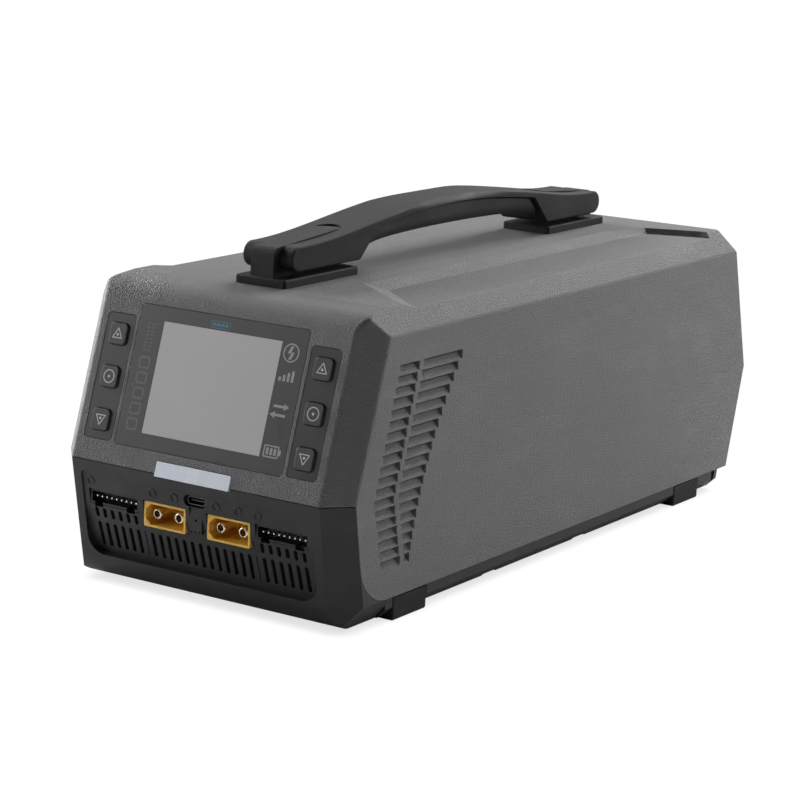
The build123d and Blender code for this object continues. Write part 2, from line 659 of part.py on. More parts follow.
for label, x in (("left", -fan_x), ("right", fan_x)):
    # the fan plane's X runs to the object's left
    centre = (-x, fan_v)
    with BuildPart() as fan_frame:
        with BuildSketch(fan_plane.offset(fan_front)):
            with Locations(centre):
                RectangleRounded(fan_size, fan_size, 4)
                Circle(fan_bore / 2, mode=Mode.SUBTRACT)
                with GridLocations(fan_hole_pitch, fan_hole_pitch, 2, 2):
                    Circle(fan_screw / 2 + slip, mode=Mode.SUBTRACT)
        extrude(amount=-fan_deep)
        with BuildSketch(fan_plane.offset(fan_front - fan_deep)):
            with Locations(centre):
                Circle(boss_r)
                with PolarLocations(0, 4, start_angle=45):
                    Rectangle(fan_bore + 1, 3.0)
                Circle(shaft_r + slip, mode=Mode.SUBTRACT)
        extrude(amount=boss_thick)
    write(fan_frame, f"{label}_fan_frame")
    rotor_plane = fan_plane.offset(fan_front - fan_deep + boss_thick + 0.3)
    with BuildPart() as fan_rotor:
        with BuildSketch(rotor_plane):
            with Locations(centre):
                Circle(hub_r)
        extrude(amount=rotor_deep)
        fillet(fan_rotor.edges().filter_by(GeomType.CIRCLE).sort_by(Axis.Y)[-1], radius=1.2)
        with BuildSketch(rotor_plane):
            with Locations(centre):
                Circle(shaft_r)
        extrude(amount=-boss_thick)
        blade_frame = rotor_plane.offset(rotor_deep / 2)
        hub_middle = blade_frame.from_local_coords((centre[0], centre[1], 0))
        for index in range(blade_count):
            turn_sin, turn_cos = slope(index * 360 / blade_count)
            outwards = blade_frame.x_dir * turn_cos + blade_frame.y_dir * turn_sin
            sideways = blade_frame.y_dir * turn_cos - blade_frame.x_dir * turn_sin
            root = hub_middle + outwards * (hub_r - 0.8)
            with BuildSketch(Plane(root, x_dir=sideways, z_dir=outwards)):
                Rectangle(1.3, rotor_deep * 1.08, rotation=-38)
            extrude(amount=blade_r - hub_r + 0.4)
    write(fan_rotor, f"{label}_fan_rotor")

with BuildPart() as fan_guards:
    with BuildSketch(fan_plane.offset(-rear_set_in)):
        for x in (-fan_x, fan_x):
            with Locations((x, fan_v)):
                for ring_r in guard_rings:
                    Circle(ring_r)
                    Circle(ring_r - guard_wire, mode=Mode.SUBTRACT)
                Circle(guard_hub_r)
                with PolarLocations(0, 4, start_angle=45):
                    with Locations((20.5, 0)):
                        Rectangle(24, 2.0)
                with GridLocations(fan_hole_pitch, fan_hole_pitch, 2, 2):
                    Circle(4.2)
                    Circle(fan_screw / 2 + fit_gap, mode=Mode.SUBTRACT)
    extrude(amount=guard_thick)
write(fan_guards, "fan_guards")

with BuildPart() as fan_screws:
    for x in (-fan_x, fan_x):
        with BuildSketch(fan_plane.offset(guard_thick - rear_set_in)):
            with Locations((x, fan_v)):
                with GridLocations(fan_hole_pitch, fan_hole_pitch, 2, 2):
                    Circle(fan_head_r)
                    Rectangle(4.4, 0.9, mode=Mode.SUBTRACT)
                    Rectangle(0.9, 4.4, mode=Mode.SUBTRACT)
        extrude(amount=fan_head_h)
        with BuildSketch(fan_plane.offset(guard_thick - rear_set_in + fan_head_floor)):
            with Locations((x, fan_v)):
                with GridLocations(fan_hole_pitch, fan_hole_pitch, 2, 2):
                    Circle(fan_screw / 2)
        extrude(amount=-(fan_head_floor + guard_thick + wall + fan_screw_bite))
write(fan_screws, "fan_screws")

# ---- AC inlet: flanged body, three blades ------------------------------------------------
flange_w, flange_h, flange_thick = 31.0, 24.0, 1.8
inlet_deep, inlet_cavity_deep = 24.0, 16.5
cavity_w, cavity_h, cavity_corner = 24.4, 16.2, 4.2
blade_w, blade_h, blade_pitch, blade_offset = 2.0, 4.0, 7.0, 2.0
blade_recess = 4.6

with BuildPart() as ac_inlet:
    with BuildSketch(inlet_plane.offset(-rear_set_in)):
        with Locations((inlet_x, inlet_v)):
            RectangleRounded(flange_w, flange_h, 1.5)
    extrude(amount=flange_thick)
    with BuildSketch(inlet_plane.offset(-rear_set_in)):
        with Locations((inlet_x, inlet_v)):
            Rectangle(inlet_cut_w, inlet_cut_h)
    extrude(amount=-inlet_deep)
    with BuildSketch(inlet_plane.offset(flange_thick - rear_set_in)):
        with BuildLine():
            left, right = inlet_x - cavity_w / 2, inlet_x + cavity_w / 2
            low, high = inlet_v - cavity_h / 2, inlet_v + cavity_h / 2
            Polyline(
                (left, low + cavity_corner),
                (left + cavity_corner, low),
                (right - cavity_corner, low),
                (right, low + cavity_corner),
                (right, high),
                (left, high),
                close=True,
            )
        make_face()
    extrude(amount=-inlet_cavity_deep, mode=Mode.SUBTRACT)
    blade_spots = ((inlet_x - blade_pitch, inlet_v + blade_offset), (inlet_x, inlet_v - blade_offset))
    blade_spots += ((inlet_x + blade_pitch, inlet_v + blade_offset),)
    with BuildSketch(inlet_plane):
        with Locations(*blade_spots):
            Rectangle(blade_w + 2 * slip, blade_h + 2 * slip)
    extrude(amount=-inlet_deep - 4, mode=Mode.SUBTRACT)
write(ac_inlet, "ac_inlet")

with BuildPart() as ac_inlet_blades:
    with BuildSketch(inlet_plane.offset(flange_thick - rear_set_in - blade_recess)):
        with Locations(*blade_spots):
            Rectangle(blade_w, blade_h)
    extrude(amount=-(inlet_deep + 3))
write(ac_inlet_blades, "ac_inlet_blades")


# ---- power sockets: square housings with two cavity corners cut, and split round contacts ----
socket_floor, socket_wall, socket_round = 4.0, 0.9, 0.7
contact_recess, contact_bore = 2.0, 2.9
contact_tail = 5.0


def socket_cavity(w, h, corner):
    """A rectangle with two corners cut, at the end where the polarity is marked."""
    with BuildSketch(mode=Mode.PRIVATE) as outline:
        with BuildLine():
            Polyline(
                (-w / 2, -h / 2 + corner),
                (-w / 2 + corner, -h / 2),
                (w / 2, -h / 2),
                (w / 2, h / 2),
                (-w / 2 + corner, h / 2),
                (-w / 2, h / 2 - corner),
                close=True,
            )
        make_face()
    return outline.sketch


def make_socket(mouth, label):
    """A socket whose mouth lies on the plane given, its contacts in a node of their own."""
    with BuildPart() as housing:
        with BuildSketch(mouth):
            RectangleRounded(socket_w, socket_h, socket_round)
        extrude(amount=-socket_deep)
        with BuildSketch(mouth):
            add(socket_cavity(socket_w - 2 * socket_wall, socket_h - 2 * socket_wall, socket_corner))
        extrude(amount=-(socket_deep - socket_floor), mode=Mode.SUBTRACT)
        with BuildSketch(mouth):
            with GridLocations(contact_pitch, 1, 2, 1):
                Circle(contact_d / 2 + slip)
        extrude(amount=-socket_deep, mode=Mode.SUBTRACT)
    write(housing, f"{label}_socket")
    with BuildPart() as contacts:
        with BuildSketch(mouth.offset(-contact_recess)):
            with GridLocations(contact_pitch, 1, 2, 1):
                Circle(contact_d / 2)
        extrude(amount=-(socket_deep - contact_recess + contact_tail))
        rims = contacts.edges().filter_by(GeomType.CIRCLE)
        tips = [edge for edge in rims if abs(mouth.to_local_coords(edge.center()).Z + contact_recess) < 0.1]
        fillet(tips, radius=0.6)
        with BuildSketch(mouth.offset(-contact_recess)):
            with GridLocations(contact_pitch, 1, 2, 1):
                Circle(contact_bore / 2)
                Rectangle(0.5, contact_d + 1)
        extrude(amount=-8, mode=Mode.SUBTRACT)
    write(contacts, f"{label}_contacts")


socket_mouth_y = front_y + 3.5
for label, side in (("left_output", -1), ("right_output", 1)):
    mouth = Plane((side * socket_x, socket_mouth_y, socket_z), x_dir=(1, 0, 0), z_dir=(0, -1, 0))
    make_socket(mouth, label)
dc_mouth = inlet_plane.offset(0.8 - rear_set_in)
dc_mouth = Plane(dc_mouth.from_local_coords((dc_x, inlet_v, 0)), x_dir=dc_mouth.x_dir, z_dir=dc_mouth.z_dir)
make_socket(dc_mouth, "dc_inlet")

# ---- balance headers, their pins and boards --------------------------------------------------
header_mouth_y = front_y + 3.7
header_wall, header_floor = 0.8, 2.0
small_board_thick = 1.6
pin_recess = 1.2

for label, side in (("left", -1), ("right", 1)):
    mouth = Plane((side * header_x, header_mouth_y, header_z), x_dir=(1, 0, 0), z_dir=(0, -1, 0))
    with BuildPart() as header:
        with BuildSketch(mouth):
            Rectangle(header_w, header_h)
        extrude(amount=-header_deep)
        with BuildSketch(mouth):
            Rectangle(header_w - 2 * header_wall, header_h - 2 * header_wall)
            with Locations((-key_x, -header_h / 2), (key_x, -header_h / 2)):
                Rectangle(key_w, 2 * key_h)
        extrude(amount=-(header_deep - header_floor), mode=Mode.SUBTRACT)
        with BuildSketch(mouth):
            with GridLocations(pin_pitch, 1, pin_count, 1):
                Rectangle(pin_size + 2 * slip, pin_size + 2 * slip)
        extrude(amount=-header_deep, mode=Mode.SUBTRACT)
    write(header, f"{label}_balance_header")
    with BuildPart() as pins:
        with BuildSketch(mouth.offset(-pin_recess)):
            with GridLocations(pin_pitch, 1, pin_count, 1):
                Rectangle(pin_size, pin_size)
        extrude(amount=-(header_deep - pin_recess + small_board_thick + 1.4))
    write(pins, f"{label}_balance_pins")

connector_board_y = socket_mouth_y + socket_deep
usb_board_z = usb_z - usb_h / 2
usb_board_y = front_y + 5.6
usb_board_w = 13.0
with BuildPart() as port_boards:
    with BuildSketch(Plane.XZ.offset(-(header_mouth_y + header_deep))):
        with Locations((-header_x, header_z), (header_x, header_z)):
            Rectangle(header_w + 2, header_h + 8)
            with GridLocations(pin_pitch, 1, pin_count, 1):
                Rectangle(pin_size + 2 * slip, pin_size + 2 * slip, mode=Mode.SUBTRACT)
    extrude(amount=-small_board_thick)
    with BuildSketch(Plane.XY.offset(usb_board_z)):
        with Locations((0, (usb_board_y + connector_board_y) / 2)):
            Rectangle(usb_board_w, connector_board_y - usb_board_y)
    extrude(amount=-1.2)
write(port_boards, "port_boards")

with BuildPart() as board_spacers:
    spacer_y = header_mouth_y + header_deep + small_board_thick
    with BuildSketch(Plane.XZ.offset(-spacer_y)):
        for side in (1, -1):
            with Locations((side * header_x, header_z)):
                with GridLocations(header_w - 3, header_h + 3, 2, 2):
                    Circle(1.6)
    extrude(amount=-(connector_board_y - spacer_y))
write(board_spacers, "board_spacers")

connector_board_half, connector_board_low, connector_board_high = 56.0, board_z + board_thick, 47.0
with BuildPart() as connector_board:
    with BuildSketch(Plane.XZ.offset(-connector_board_y)):
        with Locations((0, (connector_board_low + connector_board_high) / 2)):
            Rectangle(2 * connector_board_half, connector_board_high - connector_board_low)
        with Locations((-socket_x, socket_z), (socket_x, socket_z)):
            with GridLocations(contact_pitch, 1, 2, 1):
                Circle(contact_d / 2 + slip, mode=Mode.SUBTRACT)
    extrude(amount=-small_board_thick)
write(connector_board, "connector_board")

# ---- USB socket -------------------------------------------------------------------------------
usb_mouth = Plane((0, front_y + 3.4, usb_z), x_dir=(1, 0, 0), z_dir=(0, -1, 0))
with BuildPart() as usb_socket:
    with BuildSketch(usb_mouth):
        RectangleRounded(usb_w, usb_h, usb_h / 2 - 0.05)
    extrude(amount=-usb_deep)
    with BuildSketch(usb_mouth):
        RectangleRounded(usb_w - 2 * usb_wall, usb_h - 2 * usb_wall, usb_h / 2 - usb_wall - 0.05)
    extrude(amount=-(usb_deep - 1.6), mode=Mode.SUBTRACT)
write(usb_socket, "usb_socket")

with BuildPart() as usb_tongue:
    with BuildSketch(usb_mouth.offset(-1.0)):
        Rectangle(6.7, 0.7)
    extrude(amount=-(usb_deep - 2.6))
write(usb_tongue, "usb_tongue")

# ---- blanking plate between the sockets ----------------------------------------------------------
blank_mouth_y = front_y + (seam_z - blank_z) * tan(radians(lean_lower)) + faceplate_depth - 0.2
with BuildPart() as blanking_plate:
    with BuildSketch(Plane.XZ.offset(-blank_mouth_y)):
        with Locations((0, blank_z)):
            Rectangle(blank_w, blank_h)
            with Locations((-1.9, -blank_h / 2), (0, -blank_h / 2), (1.9, -blank_h / 2)):
                Rectangle(0.7, 1.6, mode=Mode.SUBTRACT)
            Circle(0.55, mode=Mode.SUBTRACT)
    extrude(amount=-1.6)
write(blanking_plate, "blanking_plate")

# ---- display: printed overlay, window, LCD module, control board ---------------------------------
lcd_w, lcd_h, lcd_thick = 69.2, 50.0, 4.6
control_w, control_h = 118.0, 58.0
control_back = wall + 0.1 + lcd_thick             # board's face behind the display face

with BuildPart() as display_overlay:
    with BuildSketch(display_plane.offset(-panel_thick)):
        with Locations((0, panel_v)):
            RectangleRounded(panel_w, panel_h, panel_round)
        with Locations((0, window_v)):
            Rectangle(window_w + 0.1, window_h + 0.1, mode=Mode.SUBTRACT)
    extrude(amount=panel_thick)
write(display_overlay, "display_overlay")

with BuildPart() as display_window:
    with BuildSketch(display_plane.offset(-panel_thick)):
        with Locations((0, window_v)):
            Rectangle(window_w, window_h)
    extrude(amount=panel_thick - 0.05)
write(display_window, "display_window")

with BuildPart() as lcd_module:
    with BuildSketch(display_plane.offset(-wall - 0.1)):
        with Locations((0, window_v)):
            Rectangle(lcd_w, lcd_h)
    extrude(amount=-lcd_thick)
write(lcd_module, "lcd_module")

with BuildPart() as control_board:
    with BuildSketch(display_plane.offset(-control_back)):
        with Locations((0, window_v)):
            Rectangle(control_w, control_h)
    extrude(amount=-board_thick)
    # processor, memory and connectors on the back
    with BuildSketch(display_plane.offset(-control_back - board_thick)):
        with Locations((0, window_v + 4)):
            Rectangle(14, 14)
        with Locations((-24, window_v - 12), (-24, window_v + 12), (26, window_v + 8)):
            Rectangle(8, 6)
        with Locations((26, window_v - 14)):
            Rectangle(20, 5)
    extrude(amount=-2.2)
write(control_board, "control_board")

# ---- buttons: strip, sprung caps with a flange behind it, switches ---------------------------------
flange_top = 0.08                                 # gap between a flange and its strip
flange_thick_button = 0.9
stem_r, stem_tip = 2.0, 3.0
switch_size, switch_h, plunger_r, plunger_h = 6.0, 3.0, 1.7, 0.6
button_rows = {"up": button_v + button_pitch, "set": button_v, "down": button_v - button_pitch}

for side_label, side in (("left", -1), ("right", 1)):
    with BuildPart() as button_strip:
        with BuildSketch(display_plane.offset(-panel_thick)):
            with Locations((side * strip_x, strip_v)):
                RectangleRounded(strip_w, strip_h, panel_round)
            with Locations(*[(side * strip_x, v) for v in button_rows.values()]):
                opening = button_size + 2 * button_play
                RectangleRounded(opening, opening, button_round + button_play, mode=Mode.SUBTRACT)
        extrude(amount=panel_thick - 0.1)
    write(button_strip, f"{side_label}_button_strip")
    for row_label, v in button_rows.items():
        with BuildPart() as button:
            with BuildSketch(display_plane.offset(-panel_thick - flange_top)):
                with Locations((side * strip_x, v)):
                    RectangleRounded(button_size, button_size, button_round)
            extrude(amount=panel_thick + flange_top + button_rise)
            crown = [
                edge
                for edge in button.edges()
                if abs(display_plane.to_local_coords(edge.center()).Z - button_rise) < 0.05
            ]
            fillet(crown, radius=0.45)
            with BuildSketch(display_plane.offset(-panel_thick - flange_top)):
                with Locations((side * strip_x, v)):
                    Rectangle(button_size + 2 * button_flange, button_size + 2 * button_flange)
            extrude(amount=-flange_thick_button)
            with BuildSketch(display_plane.offset(-stem_tip)):
                with Locations((side * strip_x, v)):
                    Circle(stem_r)
            extrude(amount=stem_tip - panel_thick - 0.5)
        write(button, f"{side_label}_{row_label}_button")

with BuildPart() as tact_switches:
    spots = [(side * strip_x, v) for side in (1, -1) for v in button_rows.values()]
    with BuildSketch(display_plane.offset(-control_back)):
        with Locations(*spots):
            Rectangle(switch_size, switch_size)
    extrude(amount=switch_h)
    with BuildSketch(display_plane.offset(-control_back + switch_h)):
        with Locations(*spots):
            Circle(plunger_r)
    extrude(amount=plunger_h)
write(tact_switches, "tact_switches")

# ---- light bar and the board of lamps behind it -----------------------------------------------------
lamp_pitch, lamp_count, lamp_thick = 9.0, 4, 1.0
with BuildPart() as light_bar:
    with BuildSketch(display_plane.offset(bar_proud)):
        with Locations((0, (bar_high + bar_low) / 2)):
            RectangleRounded(bar_w, bar_high - bar_low, 0.5)
    extrude(amount=-(bar_depth + bar_proud))
write(light_bar, "light_bar")

with BuildPart() as light_board:
    with BuildSketch(display_plane.offset(-bar_depth - 0.1)):
        with Locations((0, (bar_high + bar_low) / 2)):
            with GridLocations(lamp_pitch, 1, lamp_count, 1):
                Rectangle(3.5, 2.8)
    extrude(amount=-lamp_thick)
    with BuildSketch(display_plane.offset(-bar_depth - 0.1 - lamp_thick)):
        with Locations((0, (bar_high + bar_low) / 2 + 0.8)):
            Rectangle(bar_w + 6, bar_high - bar_low + 1.6)
    extrude(amount=-1.0)
write(light_board, "light_board")

# ---- handle: two bolted mounts with a tongue, a forked strap over a grip, cross pins ------------------
handle_base_z = roof_z                            # plates rest on the roof's spine
arm_low_z = handle_base_z + 5.7                   # underside of the fork arms
arm_end_r = 5.1                                   # rounded ends of the arms
arm_end = 116.7                                   # that rounding's centre, from the middle
arm_in = 75.0                                     # inner, slanted end of the arms at its foot
arm_slant, arm_slant_h = 12.5, 12.4
arch_z, arch_fall, arch_half, arch_edge_z = 150.2, 1.1, 58.0, 146.1
shoulder, shoulder_z = 78.0, 143.6
strap_thick = 2.8
strap_edge_r = 0.8
crown_half, crown_low_z = 6.5, 147.2              # top of the arch, rounded off towards both sides
tongue_w, tongue_thick = 11.3, 3.1
tongue_gap = 0.45
tongue_front, tongue_post = 125.3, 12.5           # outer face of the upright, and its depth
tongue_tip = 81.5                                 # middle of the tongue's rounded end
pin_r = 1.5
grip_w, grip_round = 21.0, 4.8
grip_gap, grip_lip = 0.6, 1.6                     # groove under the strap, along both sides
grip_end_gap = 2.4                                # from the arms' slanted ends
grip_line = [                                     # underside: distance from the middle, and height
    (70.5, 132.4), (66.0, 133.9), (60.0, 135.3), (50.0, 136.4), (35.0, 137.1), (0.0, 137.6),
]

arm_end_z = arm_low_z + arm_end_r


def strap_top(distance):
    """Height of the strap's top outside the arch: a straight fall from shoulder to arm end."""
    share = (distance - shoulder) / (arm_end - shoulder)
    return shoulder_z + share * (arm_end_z + arm_end_r - shoulder_z)


def strap_curve():
    """Upper line of the strap, from one arm's end to the other's."""
    half = [(arm_end, strap_top(arm_end)), (shoulder, shoulder_z), (arch_half, arch_edge_z)]
    half.append((arch_half / 2, arch_z - arch_fall))
    left = [(handle_y - distance, z) for distance, z in half]
    right = [(handle_y + distance, z) for distance, z in reversed(half)]
    Spline(*left, (handle_y, arch_z), *right, tangents=((1, 0), (1, 0)))


def strap_underside(drop):
    """Lower line of the strap between the arms' slanted ends, moved down by drop."""
    reach, low = arm_in - arm_slant, arm_low_z + arm_slant_h - drop
    Spline(
        (handle_y - reach, low),
        (handle_y - arch_half / 2, arch_z - arch_fall - strap_thick - drop),
        (handle_y, arch_z - strap_thick - drop),
        (handle_y + arch_half / 2, arch_z - arch_fall - strap_thick - drop),
        (handle_y + reach, low),
    )


with BuildPart() as handle_strap:
    with BuildSketch(Plane.YZ):
        with BuildLine():
            strap_curve()
            for side in (1, -1):
                outer = handle_y + side * arm_end
                top_point, low_point = (outer, arm_end_z + arm_end_r), (outer, arm_low_z)
                ThreePointArc(top_point, (outer + side * arm_end_r, arm_end_z), low_point)
                foot = (handle_y + side * arm_in, arm_low_z)
                Line(low_point, foot)
                Line(foot, (handle_y + side * (arm_in - arm_slant), arm_low_z + arm_slant_h))
            strap_underside(0)
        make_face()
    extrude(amount=handle_w / 2, both=True)
    outside = handle_strap.faces().filter_by(Axis.X)
    fillet([edge for face in outside for edge in face.edges() if edge.length > 200], radius=strap_edge_r)
    # the arch's crown, rounded off towards its sides
    with BuildSketch(Plane.XZ.offset(-handle_y)):
        for side in (1, -1):
            with BuildLine():
                rim, crown = (side * handle_w / 2, crown_low_z), (side * crown_half, arch_z + 0.05)
                EllipticalCenterArc(
                    (side * crown_half, crown_low_z),
                    handle_w / 2 - crown_half,
                    arch_z + 0.05 - crown_low_z,
                    start_angle=0 if side == 1 else 90,
                    arc_size=90,
                )
                Polyline(crown, (side * crown_half, arch_z + 2), (side * handle_w, arch_z + 2))
                Polyline((side * handle_w, arch_z + 2), (side * handle_w, crown_low_z), rim)
            make_face()
    extrude(amount=arm_in, both=True, mode=Mode.SUBTRACT)
    # slots that the mounts' tongues fill
    for side in (1, -1):
        with BuildSketch(Plane.XY.offset(arm_low_z - 1)):
            slot_out = arm_end + arm_end_r + 2
            with Locations((0, handle_y + side * (tongue_tip + slot_out) / 2)):
                Rectangle(tongue_w + 2 * tongue_gap, slot_out - tongue_tip)
            with Locations((0, handle_y + side * tongue_tip)):
                Circle(tongue_w / 2 + tongue_gap)
        extrude(amount=20, mode=Mode.SUBTRACT)
    # blind bores of the cross pins
    for side in (1, -1):
        with BuildSketch(Plane.YZ.offset(-(handle_w / 2 - 2))):
            with Locations((handle_y + side * arm_end, arm_end_z)):
                Circle(pin_r + slip)
        extrude(amount=handle_w - 4, mode=Mode.SUBTRACT)
write(handle_strap, "handle_strap")

with BuildPart() as handle_pins:
    for side in (1, -1):
        with BuildSketch(Plane.YZ.offset(-(handle_w / 2 - 2.1))):
            with Locations((handle_y + side * arm_end, arm_end_z)):
                Circle(pin_r)
        extrude(amount=handle_w - 4.2)
write(handle_pins, "handle_pins")

for label, side in (("front", -1), ("rear", 1)):
    with BuildPart() as handle_mount:
        with BuildSketch(Plane.XY.offset(handle_base_z)):
            with Locations((0, handle_y + side * (handle_half - plate_l / 2))):
                RectangleRounded(handle_w, plate_l, 1.0)
        extrude(amount=plate_thick)
        chamfer(handle_mount.faces().sort_by(Axis.Z)[-1].edges(), length=0.5)
        # upright and the tongue bent over from it
        with BuildSketch(Plane.YZ):
            outer, inner = handle_y + side * tongue_front, handle_y + side * (tongue_front - tongue_post)
            tip = handle_y + side * tongue_tip
            top_out, top_tip = strap_top(tongue_front), strap_top(tongue_tip)
            with BuildLine():
                Polyline(
                    (outer, handle_base_z + plate_thick - 0.6),
                    (outer - side * 0.8, top_out),
                    (tip, top_tip),
                    (tip, top_tip - tongue_thick),
                    (inner, strap_top(tongue_front - tongue_post) - tongue_thick),
                    (inner, handle_base_z + plate_thick - 0.6),
                    close=True,
                )
            make_face()
        extrude(amount=tongue_w / 2, both=True)
        bend = handle_mount.edges().filter_by(Axis.X).sort_by(
            lambda edge: abs(edge.center().Y - outer) + abs(edge.center().Z - top_out)
        )
        fillet(bend[0], radius=3.4)
        with BuildSketch(Plane.XY.offset(top_tip - tongue_thick)):
            with Locations((0, tip)):
                Circle(tongue_w / 2)
            with Locations((0, tip + side * tongue_w)):
                Rectangle(2 * tongue_w, 2 * tongue_w, mode=Mode.SUBTRACT)
        extrude(amount=tongue_thick - 0.25)
        with BuildSketch(Plane.YZ.offset(-tongue_w)):
            with Locations((handle_y + side * arm_end, arm_end_z)):
                Circle(pin_r + slip)
        extrude(amount=2 * tongue_w, mode=Mode.SUBTRACT)
        with BuildSketch(Plane.XY.offset(handle_base_z)):
            with Locations(*[(0, handle_y + side * place) for place in plate_screw_l]):
                Circle(plate_screw / 2 + slip)
        extrude(amount=plate_thick - 0.6, mode=Mode.SUBTRACT)
    write(handle_mount, f"handle_{label}_mount")

with BuildPart() as handle_screws:
    spots = [(0, handle_y + end * place) for end in (1, -1) for place in plate_screw_l]
    with BuildSketch(Plane.XY.offset(mouth_z - 2.2)):
        with Locations(*spots):
            Circle(plate_screw * 0.95)
            RegularPolygon(1.5, 6, mode=Mode.SUBTRACT)
    extrude(amount=2.2)
    with BuildSketch(Plane.XY.offset(mouth_z - 0.8)):
        with Locations(*spots):
            Circle(plate_screw / 2)
    extrude(amount=wall + 0.8 + plate_thick - 0.8)
write(handle_screws, "handle_screws")

with BuildPart() as handle_grip:
    reach = arm_in - arm_slant
    with BuildSketch(Plane.YZ):
        with BuildLine():
            strap_underside(0)
            left = [(handle_y - distance, z) for distance, z in grip_line]
            right = [(handle_y + distance, z) for distance, z in reversed(grip_line[:-1])]
            Spline(*left, *right)
            for side in (1, -1):
                corner = (handle_y + side * reach, arm_low_z + arm_slant_h)
                Line(corner, (handle_y + side * grip_line[0][0], grip_line[0][1]))
        make_face()
    extrude(amount=grip_w / 2, both=True)
    sides = handle_grip.faces().filter_by(Axis.X)
    rims = [edge for face in sides for edge in face.edges() if edge.length > 60]
    fillet([edge for edge in rims if edge.center().Z < arch_edge_z - 4], radius=grip_round)
    # clear of the arms' slanted ends
    for side in (1, -1):
        with BuildSketch(Plane.YZ.offset(-grip_w)):
            with BuildLine():
                foot, high = handle_y + side * arm_in, handle_y + side * (arm_in - arm_slant)
                inward, outward = side * grip_end_gap, side * 20
                Polyline(
                    (foot - inward, arm_low_z),
                    (high - inward, arm_low_z + arm_slant_h),
                    (high - inward, arch_z),
                    (foot + outward, arch_z),
                    (foot + outward, arm_low_z),
                    close=True,
                )
            make_face()
        extrude(amount=2 * grip_w, mode=Mode.SUBTRACT)
    # groove under the strap, along both sides
    for side in (1, -1):
        with BuildSketch(Plane.YZ.offset(side * (grip_w / 2 - grip_lip))):
            with BuildLine():
                strap_underside(0)
                strap_underside(grip_gap)
                for end in (1, -1):
                    edge_y, edge_z = handle_y + end * reach, arm_low_z + arm_slant_h
                    Line((edge_y, edge_z), (edge_y, edge_z - grip_gap))
            make_face()
        extrude(amount=side * 2 * grip_lip, mode=Mode.SUBTRACT)
write(handle_grip, "handle_grip")

# ---- power electronics ----------------------------------------------------------------------
with BuildPart() as charge_board:
    with BuildSketch(Plane.XY.offset(board_z)):
        with Locations((0, sum(charge_board_y) / 2)):
            Rectangle(2 * board_half, charge_board_y[1] - charge_board_y[0])
        with Locations(*[spot for spot in standoff_spots if spot[1] < charge_board_y[1]]):
            Circle(board_screw_r + fit_gap, mode=Mode.SUBTRACT)
    extrude(amount=board_thick)
write(charge_board, "charge_board")

with BuildPart() as power_board:
    with BuildSketch(Plane.XY.offset(board_z)):
        with Locations((0, sum(power_board_y) / 2)):
            Rectangle(2 * board_half, power_board_y[1] - power_board_y[0])
        with Locations(*[spot for spot in standoff_spots if spot[1] > charge_board_y[1]]):
            Circle(board_screw_r + fit_gap, mode=Mode.SUBTRACT)
    extrude(amount=board_thick)
write(power_board, "power_board")

with BuildPart() as standoffs:
    with BuildSketch(Plane.XY.offset(base_z + tray_wall)):
        with Locations(*standoff_spots):
            RegularPolygon(standoff_r, 6)
            Circle(board_screw_r + slip, mode=Mode.SUBTRACT)
    extrude(amount=board_z - base_z - tray_wall)
write(standoffs, "standoffs")

with BuildPart() as board_screws:
    with BuildSketch(Plane.XY.offset(board_z - 8)):
        with Locations(*standoff_spots):
            Circle(board_screw_r)
    extrude(amount=8 + board_thick)
    with BuildSketch(Plane.XY.offset(board_z + board_thick)):
        with Locations(*standoff_spots):
            Circle(2 * board_screw_r)
    extrude(amount=1.8)
write(board_screws, "board_screws")

board_top_z = board_z + board_thick
sink_x, sink_w, sink_h, sink_fins, sink_base, fin_thick = 34.0, 22.0, 30.0, 6, 4.0, 1.6
sink_y = {"charge": (-108.0, -36.0), "power": (4.0, 80.0)}
with BuildPart() as heatsinks:
    for ends in sink_y.values():
        with BuildSketch(Plane.XZ.offset(-ends[0])):
            for side in (1, -1):
                with Locations((side * sink_x, board_top_z + sink_base / 2)):
                    Rectangle(sink_w, sink_base)
                with Locations((side * sink_x, board_top_z + sink_h / 2)):
                    with GridLocations((sink_w - fin_thick) / (sink_fins - 1), 1, sink_fins, 1):
                        Rectangle(fin_thick, sink_h)
        extrude(amount=-(ends[1] - ends[0]))
write(heatsinks, "heatsinks")

core_w, core_l, core_flange, winding_w, winding_l, winding_h = 34.0, 32.0, 6.0, 28.0, 30.0, 20.0
transformer_y = (20.0, 60.0)
with BuildPart() as transformers:
    for y in transformer_y:
        for start in (0, core_flange + winding_h):
            with BuildSketch(Plane.XY.offset(board_top_z + start)):
                with Locations((0, y)):
                    Rectangle(core_w, core_l)
            extrude(amount=core_flange)
        with BuildSketch(Plane.XY.offset(board_top_z + core_flange)):
            with Locations((0, y)):
                Rectangle(winding_w, winding_l)
        extrude(amount=winding_h)
write(transformers, "transformers")

coil_w, coil_l, coil_h, coil_x, coil_y = 15.0, 19.0, 15.0, 9.0, (-94.0, -70.0, -46.0)
choke_r, choke_bore_r, choke_h, choke_spot = 12.0, 4.5, 14.0, (34.0, 98.0)
with BuildPart() as inductors:
    for y in coil_y:
        with BuildSketch(Plane.XY.offset(board_top_z)):
            with Locations((-coil_x, y), (coil_x, y)):
                RectangleRounded(coil_w, coil_l, 3)
        extrude(amount=coil_h)
    # ring choke of the mains filter
    with BuildSketch(Plane.XY.offset(board_top_z)):
        with Locations(choke_spot):
            Circle(choke_r)
            Circle(choke_bore_r, mode=Mode.SUBTRACT)
    extrude(amount=choke_h)
write(inductors, "inductors")

